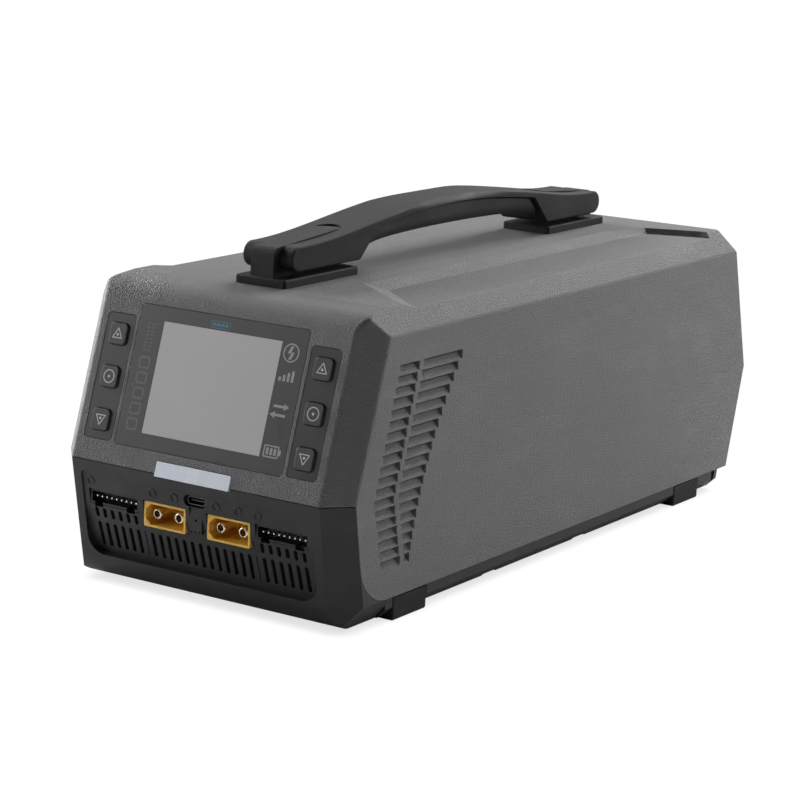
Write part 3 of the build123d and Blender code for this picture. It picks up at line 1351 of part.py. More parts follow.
cap_r, cap_h, small_cap_r, small_cap_h = 9.0, 32.0, 5.0, 20.0
with BuildPart() as capacitors:
    with BuildSketch(Plane.XY.offset(board_top_z)):
        with Locations(*[(x, -8.0) for x in (-30.0, -10.0, 10.0, 30.0)]):
            Circle(cap_r)
    extrude(amount=cap_h)
    with BuildSketch(Plane.XY.offset(board_top_z)):
        with Locations(*[(x, -117.0) for x in (-28.0, -14.0, 0.0, 14.0, 28.0)]):
            Circle(small_cap_r)
    extrude(amount=small_cap_h)
    crowns = capacitors.edges().filter_by(GeomType.CIRCLE)
    fillet([edge for edge in crowns if edge.center().Z > board_top_z + 1], radius=1.0)
write(capacitors, "capacitors")
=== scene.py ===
import json
import math

import bpy
from mathutils import Matrix, Vector


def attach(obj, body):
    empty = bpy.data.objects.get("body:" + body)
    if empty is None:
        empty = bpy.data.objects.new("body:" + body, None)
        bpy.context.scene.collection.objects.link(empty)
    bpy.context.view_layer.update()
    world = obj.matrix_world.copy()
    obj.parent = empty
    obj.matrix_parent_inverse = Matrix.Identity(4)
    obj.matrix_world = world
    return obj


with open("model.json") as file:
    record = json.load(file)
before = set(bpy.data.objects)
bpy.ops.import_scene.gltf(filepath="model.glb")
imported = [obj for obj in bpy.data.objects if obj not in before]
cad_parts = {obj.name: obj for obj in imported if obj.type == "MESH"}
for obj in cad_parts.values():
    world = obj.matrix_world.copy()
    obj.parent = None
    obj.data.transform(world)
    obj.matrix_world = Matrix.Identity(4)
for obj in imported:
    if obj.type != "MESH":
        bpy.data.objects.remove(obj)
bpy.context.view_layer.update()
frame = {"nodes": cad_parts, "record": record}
mm = 0.001
nodes = frame["nodes"]
scene = bpy.context.scene
print("frame loaded:", len(nodes), "nodes")


# small helpers

def deselectAll():
    if bpy.context.mode != "OBJECT":
        bpy.ops.object.mode_set(mode="OBJECT")
    bpy.ops.object.select_all(action="DESELECT")


def activate(piece):
    deselectAll()
    piece.select_set(True)
    bpy.context.view_layer.objects.active = piece


def settle(piece, place=None):    # puts the piece's place into its mesh and leaves the object at the origin
    activate(piece)
    if place is not None:
        piece.matrix_world = place @ piece.matrix_world
        bpy.context.view_layer.update()
    bpy.ops.object.transform_apply(location=True, rotation=True, scale=True)


def joinPieces(pieces, name):
    deselectAll()
    for piece in pieces:
        piece.select_set(True)
    bpy.context.view_layer.objects.active = pieces[0]
    if len(pieces) > 1:
        bpy.ops.object.join()
    pieces[0].name = name
    return pieces[0]


# shader building blocks

def addNode(tree, kind, inputs=None, **settings):
    node = tree.nodes.new(kind)
    for key, value in settings.items():
        setattr(node, key, value)
    for key, value in (inputs or {}).items():
        socket = node.inputs[key]
        if isinstance(value, bpy.types.NodeSocket):
            tree.links.new(value, socket)
        else:
            socket.default_value = value
    return node


def calc(tree, operation, first, second=0.0, third=None, clamp=False):
    given = {0: first, 1: second}
    if third is not None:
        given[2] = third
    node = addNode(tree, "ShaderNodeMath", given, operation=operation, use_clamp=clamp)
    return node.outputs[0]


def spread(tree, value, low, high, outLow=0.0, outHigh=1.0):
    given = {"Value": value, "From Min": low, "From Max": high, "To Min": outLow, "To Max": outHigh}
    return addNode(tree, "ShaderNodeMapRange", given, interpolation_type="SMOOTHSTEP").outputs[0]


def blendColours(tree, factor, first, second, mode="MIX"):
    node = addNode(tree, "ShaderNodeMix", None, data_type="RGBA", blend_type=mode)
    for socket, value in ((node.inputs[0], factor), (node.inputs[6], first), (node.inputs[7], second)):
        if isinstance(value, bpy.types.NodeSocket):
            tree.links.new(value, socket)
        else:
            socket.default_value = value
    return node.outputs[2]


def newGroup(name, inputs, outputs):
    group = bpy.data.node_groups.new(name, "ShaderNodeTree")
    for label, kind, value in inputs:
        socket = group.interface.new_socket(label, in_out="INPUT", socket_type="NodeSocket" + kind)
        if value is not None:
            socket.default_value = value
    for label, kind in outputs:
        group.interface.new_socket(label, in_out="OUTPUT", socket_type="NodeSocket" + kind)
    return group, addNode(group, "NodeGroupInput").outputs, addNode(group, "NodeGroupOutput").inputs


def makeLeatherGrain():
    # Pebbled grain of the grey mouldings: domed cells with creases and a finer tooth on top, and a crease mask that
    # darkens the colour as painted shade
    group, given, out = newGroup(
        "leatherGrain",
        [("Cells", "Float", 900.0), ("Tooth", "Float", 0.35)],
        [("Height", "Float"), ("CreaseShade", "Float")],
    )
    place = addNode(group, "ShaderNodeTexCoord").outputs["Object"]
    wander = addNode(group, "ShaderNodeTexNoise", {"Vector": place, "Scale": 420.0, "Detail": 2.0})
    shift = addNode(
        group, "ShaderNodeVectorMath", {0: wander.outputs["Color"], "Scale": 0.0012}, operation="SCALE"
    )
    moved = addNode(group, "ShaderNodeVectorMath", {0: place, 1: shift.outputs[0]}, operation="ADD")
    cells = addNode(
        group, "ShaderNodeTexVoronoi",
        {"Vector": moved.outputs[0], "Scale": given["Cells"], "Randomness": 1.0},
        feature="DISTANCE_TO_EDGE",
    )
    dome = spread(group, cells.outputs["Distance"], 0.0, 0.34)
    # crease mask, used as painted shade in the grain's creases
    creaseShade = spread(group, cells.outputs["Distance"], 0.0, 0.10, 1.0, 0.0)
    tooth = addNode(
        group, "ShaderNodeTexNoise",
        {"Vector": place, "Scale": 2600.0, "Detail": 3.0, "Roughness": 0.6},
    )
    swell = addNode(group, "ShaderNodeTexNoise", {"Vector": place, "Scale": 260.0, "Detail": 2.0})
    fine = calc(group, "MULTIPLY", tooth.outputs["Fac"], given["Tooth"])
    total = calc(group, "ADD", dome, fine)
    total = calc(group, "ADD", total, calc(group, "MULTIPLY", swell.outputs["Fac"], 0.6))
    group.links.new(total, out["Height"])
    group.links.new(creaseShade, out["CreaseShade"])
    return group


def makeSparkGrain():    # fine eroded texture of the black mouldings
    group, given, out = newGroup(
        "sparkGrain", [("Scale", "Float", 1800.0)], [("Height", "Float")]
    )
    place = addNode(group, "ShaderNodeTexCoord").outputs["Object"]
    rough = addNode(
        group, "ShaderNodeTexNoise",
        {"Vector": place, "Scale": given["Scale"], "Detail": 4.0, "Roughness": 0.7},
    )
    pits = addNode(
        group, "ShaderNodeTexVoronoi", {"Vector": place, "Scale": given["Scale"]}, feature="SMOOTH_F1"
    )
    total = calc(group, "ADD", rough.outputs["Fac"], calc(group, "MULTIPLY", pits.outputs["Distance"], 0.5))
    group.links.new(total, out["Height"])
    return group


def makeSoftEdges():
    # Rounded shading at sharp edges, and a mask of those edges broken up as handling wears them
    group, given, out = newGroup(
        "softEdges",
        [("Radius", "Float", 0.0004), ("Wear", "Float", 0.5)],
        [("Normal", "Vector"), ("Edge", "Float")],
    )
    bevel = addNode(group, "ShaderNodeBevel", {"Radius": given["Radius"]}, samples=6)
    true = addNode(group, "ShaderNodeNewGeometry").outputs["True Normal"]
    agree = addNode(
        group, "ShaderNodeVectorMath", {0: bevel.outputs[0], 1: true}, operation="DOT_PRODUCT"
    ).outputs["Value"]
    edge = spread(group, agree, 0.90, 0.99, 1.0, 0.0)
    place = addNode(group, "ShaderNodeTexCoord").outputs["Object"]
    chips = addNode(
        group, "ShaderNodeTexNoise", {"Vector": place, "Scale": 240.0, "Detail": 5.0, "Roughness": 0.65}
    )
    broken = spread(group, chips.outputs["Fac"], 0.42, 0.62)
    worn = calc(group, "MULTIPLY", calc(group, "MULTIPLY", edge, broken), given["Wear"], clamp=True)
    group.links.new(bevel.outputs[0], out["Normal"])
    group.links.new(worn, out["Edge"])
    return group


def makeHandling():    # large-scale unevenness: mottled tone, faint smears and dust that lies on upward faces
    group, given, out = newGroup(
        "handling",
        [("Scale", "Float", 18.0), ("Dust", "Float", 0.2)],
        [("Mottle", "Float"), ("Smear", "Float"), ("Dust", "Float")],
    )
    place = addNode(group, "ShaderNodeTexCoord").outputs["Object"]
    broad = addNode(
        group, "ShaderNodeTexNoise",
        {"Vector": place, "Scale": given["Scale"], "Detail": 4.0, "Roughness": 0.55},
    )
    stretched = addNode(group, "ShaderNodeMapping", {"Vector": place, "Scale": (1.0, 0.35, 1.0)})
    smear = addNode(
        group, "ShaderNodeTexNoise",
        {"Vector": stretched.outputs[0], "Scale": 60.0, "Detail": 3.0, "Distortion": 1.2},
    )
    specks = addNode(
        group, "ShaderNodeTexNoise", {"Vector": place, "Scale": 3200.0, "Detail": 2.0, "Roughness": 0.8}
    )
    facing = addNode(
        group, "ShaderNodeSeparateXYZ",
        {0: addNode(group, "ShaderNodeNewGeometry").outputs["Normal"]},
    ).outputs["Z"]
    up = spread(group, facing, 0.35, 0.95)
    grains = spread(group, specks.outputs["Fac"], 0.52, 0.74)
    dust = calc(group, "MULTIPLY", calc(group, "MULTIPLY", up, grains), given["Dust"], clamp=True)
    group.links.new(broad.outputs["Fac"], out["Mottle"])
    group.links.new(spread(group, smear.outputs["Fac"], 0.45, 0.75), out["Smear"])
    group.links.new(dust, out["Dust"])
    return group


groups = {
    "leather": makeLeatherGrain(),
    "spark": makeSparkGrain(),
    "edges": makeSoftEdges(),
    "handling": makeHandling(),
}


def useGroup(tree, name, **inputs):
    node = addNode(tree, "ShaderNodeGroup", None, node_tree=groups[name])
    for key, value in inputs.items():
        node.inputs[key].default_value = value
    return node.outputs


def newMaterial(name, roughness, metallic=0.0, specular=0.5, coat=0.0, coatRoughness=0.2):
    material = bpy.data.materials.new(name)
    material.use_nodes = True
    tree = material.node_tree
    shader = tree.nodes["Principled BSDF"]
    shader.inputs["Roughness"].default_value = roughness
    shader.inputs["Metallic"].default_value = metallic
    shader.inputs["Specular IOR Level"].default_value = specular
    shader.inputs["Coat Weight"].default_value = coat
    shader.inputs["Coat Roughness"].default_value = coatRoughness
    return material, tree, shader


def rgba(colour):
    return (*colour, 1.0)


def shade(colour, share):
    return rgba(tuple(min(c * share, 1.0) for c in colour))


# moulded plastics and rubber: one recipe, one dictionary row for each finish

plastics = {
    "shellGrey": dict(colour=(0.155, 0.155, 0.158), roughness=0.62, grain="leather", cells=1000.0,
                      depth=0.16, tooth=0.45, edge=0.55, wear=0.22, dust=0.10, mottle=0.08),
    "handleGrey": dict(colour=(0.019, 0.019, 0.020), roughness=0.68, gloss=0.35, grain="leather", cells=1400.0,
                       depth=0.07, tooth=0.5, edge=0.5, wear=0.28, dust=0.03, mottle=0.12),
    "gripGrey": dict(colour=(0.019, 0.019, 0.020), roughness=0.72, grain="spark", cells=1500.0,
                     depth=0.06, tooth=0.5, edge=0.6, wear=0.2, dust=0.04, mottle=0.15),
    "bezelBlack": dict(colour=(0.023, 0.023, 0.024), roughness=0.57, grain="spark", cells=1700.0,
                       depth=0.05, tooth=0.5, edge=0.4, wear=0.3, dust=0.12, mottle=0.15),
    "trayBlack": dict(colour=(0.022, 0.022, 0.023), roughness=0.6, grain="spark", cells=1300.0,
                      depth=0.07, tooth=0.5, edge=0.4, wear=0.35, dust=0.10, mottle=0.18),
    "footRubber": dict(colour=(0.013, 0.013, 0.014), roughness=0.78, grain="spark", cells=1000.0,
                       depth=0.10, tooth=0.5, edge=0.5, wear=0.5, dust=0.30, mottle=0.25),
    "fanFrame": dict(colour=(0.014, 0.014, 0.015), roughness=0.42, grain="spark", cells=1800.0,
                     depth=0.03, tooth=0.5, edge=0.25, wear=0.3, dust=0.22, mottle=0.12),
    "fanBlade": dict(colour=(0.022, 0.022, 0.024), roughness=0.38, grain="spark", cells=1800.0,
                     depth=0.02, tooth=0.5, edge=0.2, wear=0.2, dust=0.35, mottle=0.15),
    "inletBlack": dict(colour=(0.014, 0.014, 0.015), roughness=0.32, grain="spark", cells=1500.0,
                       depth=0.02, tooth=0.5, edge=0.3, wear=0.4, dust=0.12, mottle=0.10),
    "headerBlack": dict(colour=(0.008, 0.008, 0.008), roughness=0.38, grain="spark", cells=2200.0,
                        depth=0.02, tooth=0.5, edge=0.12, wear=0.3, dust=0.15, mottle=0.10),
    "buttonRubber": dict(colour=(0.050, 0.049, 0.050), roughness=0.50, grain="spark", cells=2400.0,
                         depth=0.03, tooth=0.5, edge=0.35, wear=0.45, dust=0.05, mottle=0.12),
    "switchBlack": dict(colour=(0.02, 0.02, 0.02), roughness=0.4, grain="spark", cells=1800.0,
                        depth=0.02, tooth=0.5, edge=0.15, wear=0.2, dust=0.1, mottle=0.1),
}


def makePlastic(name, look):
    material, tree, shader = newMaterial(name, look["roughness"], specular=look.get("gloss", 0.5))
    edges = useGroup(tree, "edges", Radius=look["edge"] * mm, Wear=look["wear"])
    handling = useGroup(tree, "handling", Scale=16.0, Dust=look["dust"])
    if look["grain"] == "leather":
        grain = useGroup(tree, "leather", Cells=look["cells"], Tooth=look["tooth"])
    else:
        grain = useGroup(tree, "spark", Scale=look["cells"])
    colour = look["colour"]
    mottled = spread(tree, handling["Mottle"], 0.3, 0.7)
    base = blendColours(
        tree, mottled, shade(colour, 1 - look["mottle"] / 2), shade(colour, 1 + look["mottle"] / 2)
    )
    if look["grain"] == "leather":
        # painted shade: the grain's creases are darkened in the base colour
        base = blendColours(tree, calc(tree, "MULTIPLY", grain["CreaseShade"], 0.45), base, shade(colour, 0.62))
    base = blendColours(tree, edges["Edge"], base, shade(colour, 2.1))
    base = blendColours(tree, handling["Dust"], base, (0.30, 0.29, 0.27, 1.0))
    tree.links.new(base, shader.inputs["Base Color"])
    rough = calc(tree, "MULTIPLY_ADD", handling["Smear"], -0.09, look["roughness"] + 0.03)
    rough = calc(tree, "MULTIPLY_ADD", edges["Edge"], -0.12, rough)
    rough = calc(tree, "MULTIPLY_ADD", handling["Dust"], 0.3, rough, clamp=True)
    tree.links.new(rough, shader.inputs["Roughness"])
    bump = addNode(
        tree, "ShaderNodeBump",
        {"Strength": 1.0, "Distance": look["depth"] * mm, "Height": grain["Height"], "Normal": edges["Normal"]},
    )
    tree.links.new(bump.outputs[0], shader.inputs["Normal"])
    return material


materials = {name: makePlastic(name, look) for name, look in plastics.items()}
print("plastics made:", len(plastics))


# metals: turned, drawn or plated

metals = {
    "screwDark": dict(colour=(0.055, 0.055, 0.060), roughness=0.34, streak=(1.0, 1.0, 1.0), scale=900.0, wear=0.6),
    "pinSteel": dict(colour=(0.56, 0.56, 0.57), roughness=0.28, streak=(0.05, 1.0, 1.0), scale=900.0, wear=0.3),
    "guardWire": dict(colour=(0.60, 0.60, 0.62), roughness=0.20, streak=(1.0, 1.0, 1.0), scale=500.0, wear=0.4),
    "contactPlated": dict(colour=(0.86, 0.80, 0.68), roughness=0.22, streak=(1.0, 0.06, 1.0), scale=1500.0, wear=0.3),
    "headerPin": dict(colour=(0.80, 0.77, 0.70), roughness=0.25, streak=(1.0, 0.06, 1.0), scale=1800.0, wear=0.2),
    "usbShell": dict(colour=(0.16, 0.16, 0.165), roughness=0.30, streak=(1.0, 0.08, 1.0), scale=1600.0, wear=0.5),
    "spacerBrass": dict(colour=(0.72, 0.55, 0.25), roughness=0.30, streak=(1.0, 1.0, 0.05), scale=900.0, wear=0.2),
    "sinkAluminium": dict(colour=(0.70, 0.70, 0.71), roughness=0.36, streak=(1.0, 0.03, 1.0), scale=700.0, wear=0.1),
    "lcdFrame": dict(colour=(0.50, 0.50, 0.50), roughness=0.32, streak=(0.05, 1.0, 1.0), scale=900.0, wear=0.1),
}


def makeMetal(name, look):
    material, tree, shader = newMaterial(name, look["roughness"], metallic=1.0)
    edges = useGroup(tree, "edges", Radius=0.12 * mm, Wear=look["wear"])
    handling = useGroup(tree, "handling", Scale=120.0, Dust=0.05)
    place = addNode(tree, "ShaderNodeTexCoord").outputs["Object"]
    drawn = addNode(tree, "ShaderNodeMapping", {"Vector": place, "Scale": look["streak"]})
    lines = addNode(
        tree, "ShaderNodeTexNoise",
        {"Vector": drawn.outputs[0], "Scale": look["scale"], "Detail": 5.0, "Roughness": 0.65},
    ).outputs["Fac"]
    colour = look["colour"]
    base = blendColours(tree, spread(tree, lines, 0.3, 0.7), shade(colour, 0.86), shade(colour, 1.08))
    base = blendColours(tree, calc(tree, "MULTIPLY", handling["Smear"], 0.35), base, shade(colour, 0.72))
    base = blendColours(tree, edges["Edge"], base, shade(colour, 1.5))
    tree.links.new(base, shader.inputs["Base Color"])
    rough = calc(tree, "MULTIPLY_ADD", lines, 0.16, look["roughness"] - 0.08)
    rough = calc(tree, "MULTIPLY_ADD", handling["Smear"], 0.10, rough, clamp=True)
    tree.links.new(rough, shader.inputs["Roughness"])
    bump = addNode(
        tree, "ShaderNodeBump",
        {"Strength": 0.6, "Distance": 0.01 * mm, "Height": lines, "Normal": edges["Normal"]},
    )
    tree.links.new(bump.outputs[0], shader.inputs["Normal"])
    return material


for name, look in metals.items():
    materials[name] = makeMetal(name, look)
print("metals made:", len(metals))


# printed films, window, light bar, socket plastic, boards

def makeFilm(name, colour, roughness):
    # Screen-printed film: even ink with a faint orange peel and rubbed patches
    material, tree, shader = newMaterial(name, roughness, specular=0.45)
    edges = useGroup(tree, "edges", Radius=0.25 * mm, Wear=0.35)
    handling = useGroup(tree, "handling", Scale=30.0, Dust=0.06)
    place = addNode(tree, "ShaderNodeTexCoord").outputs["Object"]
    peel = addNode(tree, "ShaderNodeTexNoise", {"Vector": place, "Scale": 1900.0, "Detail": 2.0}).outputs["Fac"]
    base = blendColours(tree, spread(tree, handling["Mottle"], 0.3, 0.7), shade(colour, 0.95), shade(colour, 1.06))
    base = blendColours(tree, edges["Edge"], base, shade(colour, 2.2))
    base = blendColours(tree, handling["Dust"], base, (0.30, 0.29, 0.28, 1.0))
    tree.links.new(base, shader.inputs["Base Color"])
    rough = calc(tree, "MULTIPLY_ADD", handling["Smear"], -0.10, roughness + 0.04, clamp=True)
    tree.links.new(rough, shader.inputs["Roughness"])
    bump = addNode(
        tree, "ShaderNodeBump",
        {"Strength": 0.5, "Distance": 0.012 * mm, "Height": peel, "Normal": edges["Normal"]},
    )
    tree.links.new(bump.outputs[0], shader.inputs["Normal"])
    return material


screenLook = dict(
    dim=(0.585, 0.570, 0.578), pale=(0.615, 0.598, 0.607), gap=(0.42, 0.42, 0.43),
    cells=5200.0, roughness=0.32, coat=0.35, coatRoughness=0.12,
)


def makeScreen():    # the blank display behind its clear window: an even pale grey made of fine cells
    look = screenLook
    material, tree, shader = newMaterial(
        "screenBlank", look["roughness"], coat=look["coat"], coatRoughness=look["coatRoughness"]
    )
    handling = useGroup(tree, "handling", Scale=14.0, Dust=0.03)
    place = addNode(tree, "ShaderNodeTexCoord").outputs["Object"]
    dots = addNode(tree, "ShaderNodeTexVoronoi", {"Vector": place, "Scale": look["cells"], "Randomness": 0.1})
    base = blendColours(tree, spread(tree, handling["Mottle"], 0.3, 0.7), rgba(look["dim"]), rgba(look["pale"]))
    gaps = spread(tree, dots.outputs["Distance"], 0.2, 0.7, 0.0, 0.10)
    base = blendColours(tree, gaps, base, rgba(look["gap"]))
    tree.links.new(base, shader.inputs["Base Color"])
    rough = calc(tree, "MULTIPLY_ADD", handling["Mottle"], 0.05, look["roughness"] - 0.05)
    tree.links.new(rough, shader.inputs["Roughness"])
    return material


barLook = dict(
    cool=(0.78, 0.82, 0.92), bright=(0.82, 0.86, 0.96), block=(0.93, 0.94, 0.97),
    blockInner=2.6 * mm, blockOuter=3.1 * mm, glow=(0.80, 0.86, 1.0), paintedGlowStrength=0.07,
    translucence=0.25, reach=(0.004, 0.004, 0.005), roughness=0.34,
)


def makeLightBar():    # milky light guide: cool white, slightly cloudy, with a denser block in its middle, and a faint painted glow though it is not lit
    look = barLook
    material, tree, shader = newMaterial("lightGuide", look["roughness"])
    shader.inputs["Subsurface Weight"].default_value = look["translucence"]
    shader.inputs["Subsurface Radius"].default_value = look["reach"]
    shader.inputs["Emission Color"].default_value = rgba(look["glow"])
    # painted glow: a faint emission brightens the unlit light guide
    shader.inputs["Emission Strength"].default_value = look["paintedGlowStrength"]
    edges = useGroup(tree, "edges", Radius=0.3 * mm, Wear=0.2)
    place = addNode(tree, "ShaderNodeTexCoord").outputs["Object"]
    across = addNode(tree, "ShaderNodeSeparateXYZ", {0: place}).outputs["X"]
    away = calc(tree, "ABSOLUTE", across)
    middle = spread(tree, away, look["blockInner"], look["blockOuter"], 1.0, 0.0)
    cloud = addNode(tree, "ShaderNodeTexNoise", {"Vector": place, "Scale": 300.0, "Detail": 3.0}).outputs["Fac"]
    base = blendColours(tree, spread(tree, cloud, 0.3, 0.7), rgba(look["cool"]), rgba(look["bright"]))
    base = blendColours(tree, calc(tree, "MULTIPLY", middle, 0.35), base, rgba(look["block"]))
    tree.links.new(base, shader.inputs["Base Color"])
    tree.links.new(calc(tree, "MULTIPLY_ADD", cloud, 0.12, 0.28), shader.inputs["Roughness"])
    bump = addNode(
        tree, "ShaderNodeBump",
        {"Strength": 0.25, "Distance": 0.01 * mm, "Height": cloud, "Normal": edges["Normal"]},
    )
    tree.links.new(bump.outputs[0], shader.inputs["Normal"])
    return material


amberLook = dict(
    deep=(0.90, 0.50, 0.070), bright=(1.0, 0.62, 0.105), smear=(0.78, 0.38, 0.04), rim=(1.0, 0.80, 0.30),
    translucence=0.12, reach=(0.003, 0.0015, 0.0004), roughness=0.36,
)


def makeAmber():    # amber socket plastic: warm and slightly translucent, with flow marks along the mould
    look = amberLook
    material, tree, shader = newMaterial("socketAmber", look["roughness"])
    shader.inputs["Subsurface Weight"].default_value = look["translucence"]
    shader.inputs["Subsurface Radius"].default_value = look["reach"]
    edges = useGroup(tree, "edges", Radius=0.35 * mm, Wear=0.55)
    handling = useGroup(tree, "handling", Scale=70.0, Dust=0.05)
    place = addNode(tree, "ShaderNodeTexCoord").outputs["Object"]
    drawn = addNode(tree, "ShaderNodeMapping", {"Vector": place, "Scale": (1.0, 0.2, 1.0)})
    flow = addNode(
        tree, "ShaderNodeTexNoise", {"Vector": drawn.outputs[0], "Scale": 420.0, "Detail": 4.0}
    ).outputs["Fac"]
    base = blendColours(tree, spread(tree, flow, 0.3, 0.7), rgba(look["deep"]), rgba(look["bright"]))
    base = blendColours(tree, calc(tree, "MULTIPLY", handling["Smear"], 0.2), base, rgba(look["smear"]))
    base = blendColours(tree, edges["Edge"], base, rgba(look["rim"]))
    tree.links.new(base, shader.inputs["Base Color"])
    tree.links.new(calc(tree, "MULTIPLY_ADD", flow, 0.14, 0.28), shader.inputs["Roughness"])
    bump = addNode(
        tree, "ShaderNodeBump",
        {"Strength": 0.5, "Distance": 0.02 * mm, "Height": flow, "Normal": edges["Normal"]},
    )
    tree.links.new(bump.outputs[0], shader.inputs["Normal"])
    return material


def makeBoard(name, mask, track):    # solder mask over copper tracks
    material, tree, shader = newMaterial(name, 0.3)
    place = addNode(tree, "ShaderNodeTexCoord").outputs["Object"]
    tracks = addNode(
        tree, "ShaderNodeTexVoronoi", {"Vector": place, "Scale": 320.0, "Randomness": 0.8},
        distance="MANHATTAN", feature="DISTANCE_TO_EDGE",
    ).outputs["Distance"]
    grime = useGroup(tree, "handling", Scale=50.0, Dust=0.25)
    copper = spread(tree, tracks, 0.02, 0.06, 1.0, 0.0)
    base = blendColours(tree, copper, rgba(mask), rgba(track))
    base = blendColours(tree, grime["Dust"], base, (0.25, 0.24, 0.22, 1.0))
    tree.links.new(base, shader.inputs["Base Color"])
    tree.links.new(calc(tree, "MULTIPLY_ADD", grime["Mottle"], 0.2, 0.2), shader.inputs["Roughness"])
    bump = addNode(tree, "ShaderNodeBump", {"Strength": 0.5, "Distance": 0.03 * mm, "Height": copper})
    tree.links.new(bump.outputs[0], shader.inputs["Normal"])
    return material


windingLook = dict(
    core=(0.035, 0.033, 0.031), tape=(0.62, 0.44, 0.05), gap=(0.02, 0.02, 0.02),
    tapeLow=28 * mm, tapeHigh=47 * mm, tapeEdge=0.5 * mm, roughness=0.5,
)


def makeFerrite():    # wound parts: tape-wrapped windings on sintered cores
    look = windingLook
    material, tree, shader = newMaterial("woundFerrite", look["roughness"])
    place = addNode(tree, "ShaderNodeTexCoord").outputs["Object"]
    height = addNode(tree, "ShaderNodeSeparateXYZ", {0: place}).outputs["Z"]
    turns = addNode(
        tree, "ShaderNodeTexWave", {"Vector": place, "Scale": 260.0, "Distortion": 0.6, "Detail": 1.0},
        bands_direction="Z",
    ).outputs["Fac"]
    above = spread(tree, height, look["tapeLow"], look["tapeLow"] + look["tapeEdge"])
    below = spread(tree, height, look["tapeHigh"], look["tapeHigh"] + look["tapeEdge"], 1.0, 0.0)
    tape = calc(tree, "MULTIPLY", above, below)
    base = blendColours(tree, tape, rgba(look["core"]), rgba(look["tape"]))
    base = blendColours(tree, calc(tree, "MULTIPLY", turns, 0.25), base, rgba(look["gap"]))
    tree.links.new(base, shader.inputs["Base Color"])
    bump = addNode(tree, "ShaderNodeBump", {"Strength": 0.6, "Distance": 0.15 * mm, "Height": turns})
    tree.links.new(bump.outputs[0], shader.inputs["Normal"])
    return material


canLook = dict(
    sleeveDark=(0.014, 0.018, 0.045), sleevePale=(0.022, 0.028, 0.06), metal=(0.62, 0.62, 0.63), roughness=0.35
)


def makeCan():    # sleeved capacitor cans with bare metal tops
    look = canLook
    material, tree, shader = newMaterial("capacitorCan", look["roughness"])
    place = addNode(tree, "ShaderNodeTexCoord").outputs["Object"]
    facing = addNode(
        tree, "ShaderNodeSeparateXYZ", {0: addNode(tree, "ShaderNodeNewGeometry").outputs["Normal"]}
    ).outputs["Z"]
    top = spread(tree, facing, 0.75, 0.95)
    dirt = addNode(tree, "ShaderNodeTexNoise", {"Vector": place, "Scale": 180.0, "Detail": 4.0}).outputs["Fac"]
    sleeve = blendColours(tree, spread(tree, dirt, 0.3, 0.7), rgba(look["sleeveDark"]), rgba(look["sleevePale"]))
    base = blendColours(tree, top, sleeve, rgba(look["metal"]))
    tree.links.new(base, shader.inputs["Base Color"])
    tree.links.new(calc(tree, "MULTIPLY", top, 0.9), shader.inputs["Metallic"])
    tree.links.new(calc(tree, "MULTIPLY_ADD", dirt, 0.2, 0.22), shader.inputs["Roughness"])
    return material


def makePrint(name, colour, roughness=0.45):    # printing ink, slightly uneven over the film's texture
    material, tree, shader = newMaterial(name, roughness)
    place = addNode(tree, "ShaderNodeTexCoord").outputs["Object"]
    ink = addNode(
        tree, "ShaderNodeTexNoise", {"Vector": place, "Scale": 1400.0, "Detail": 4.0, "Roughness": 0.7}
    ).outputs["Fac"]
    base = blendColours(tree, spread(tree, ink, 0.35, 0.65), shade(colour, 0.82), shade(colour, 1.05))
    tree.links.new(base, shader.inputs["Base Color"])
    tree.links.new(calc(tree, "MULTIPLY_ADD", ink, 0.2, roughness - 0.1), shader.inputs["Roughness"])
    return material


films = {
    "filmPanel": dict(colour=(0.072, 0.070, 0.071), roughness=0.40),
    "filmStrip": dict(colour=(0.046, 0.045, 0.045), roughness=0.42),
}
boards = {
    "boardGreen": dict(mask=(0.008, 0.070, 0.026), track=(0.020, 0.130, 0.045)),
    # near-black board finish: painted shade for boards seen through ports and gaps
    "boardBlack": dict(mask=(0.006, 0.006, 0.006), track=(0.012, 0.012, 0.011)),
}
inks = {
    "inkWhite": (0.62, 0.62, 0.63),
    "inkPale": (0.40, 0.40, 0.41),
    "inkFaint": (0.135, 0.133, 0.134),
    "inkBlue": (0.045, 0.26, 0.38),
}
for name, look in films.items():
    materials[name] = makeFilm(name, **look)
for name, look in boards.items():
    materials[name] = makeBoard(name, **look)
for name, colour in inks.items():
    materials[name] = makePrint(name, colour)
materials["screenBlank"] = makeScreen()
materials["lightGuide"] = makeLightBar()
materials["socketAmber"] = makeAmber()
materials["woundFerrite"] = makeFerrite()
materials["capacitorCan"] = makeCan()
print("materials made:", len(materials))

finishOf = {
    "grey_shell": "shellGrey", "handle_grey": "handleGrey", "grip_grey": "gripGrey",
    "black_bezel": "bezelBlack", "black_tray": "trayBlack", "foot_rubber": "footRubber",
    "dark_screw": "screwDark", "steel_pin": "pinSteel", "fan_frame_black": "fanFrame",
    "fan_blade_black": "fanBlade", "guard_wire": "guardWire", "inlet_black": "inletBlack",
    "plated_contact": "contactPlated", "header_pin": "headerPin", "amber_socket": "socketAmber",
    "header_black": "headerBlack", "usb_steel": "usbShell", "usb_tongue_black": "headerBlack",
    "overlay_print": "filmPanel", "strip_print": "filmStrip", "screen_glass": "screenBlank",
    "lcd_metal": "lcdFrame", "button_rubber": "buttonRubber", "light_diffuser": "lightGuide",
    "board_green": "boardGreen", "switch_body": "switchBlack", "brass_spacer": "spacerBrass",
    "sink_aluminium": "sinkAluminium", "ferrite": "woundFerrite", "capacitor_sleeve": "capacitorCan",
}

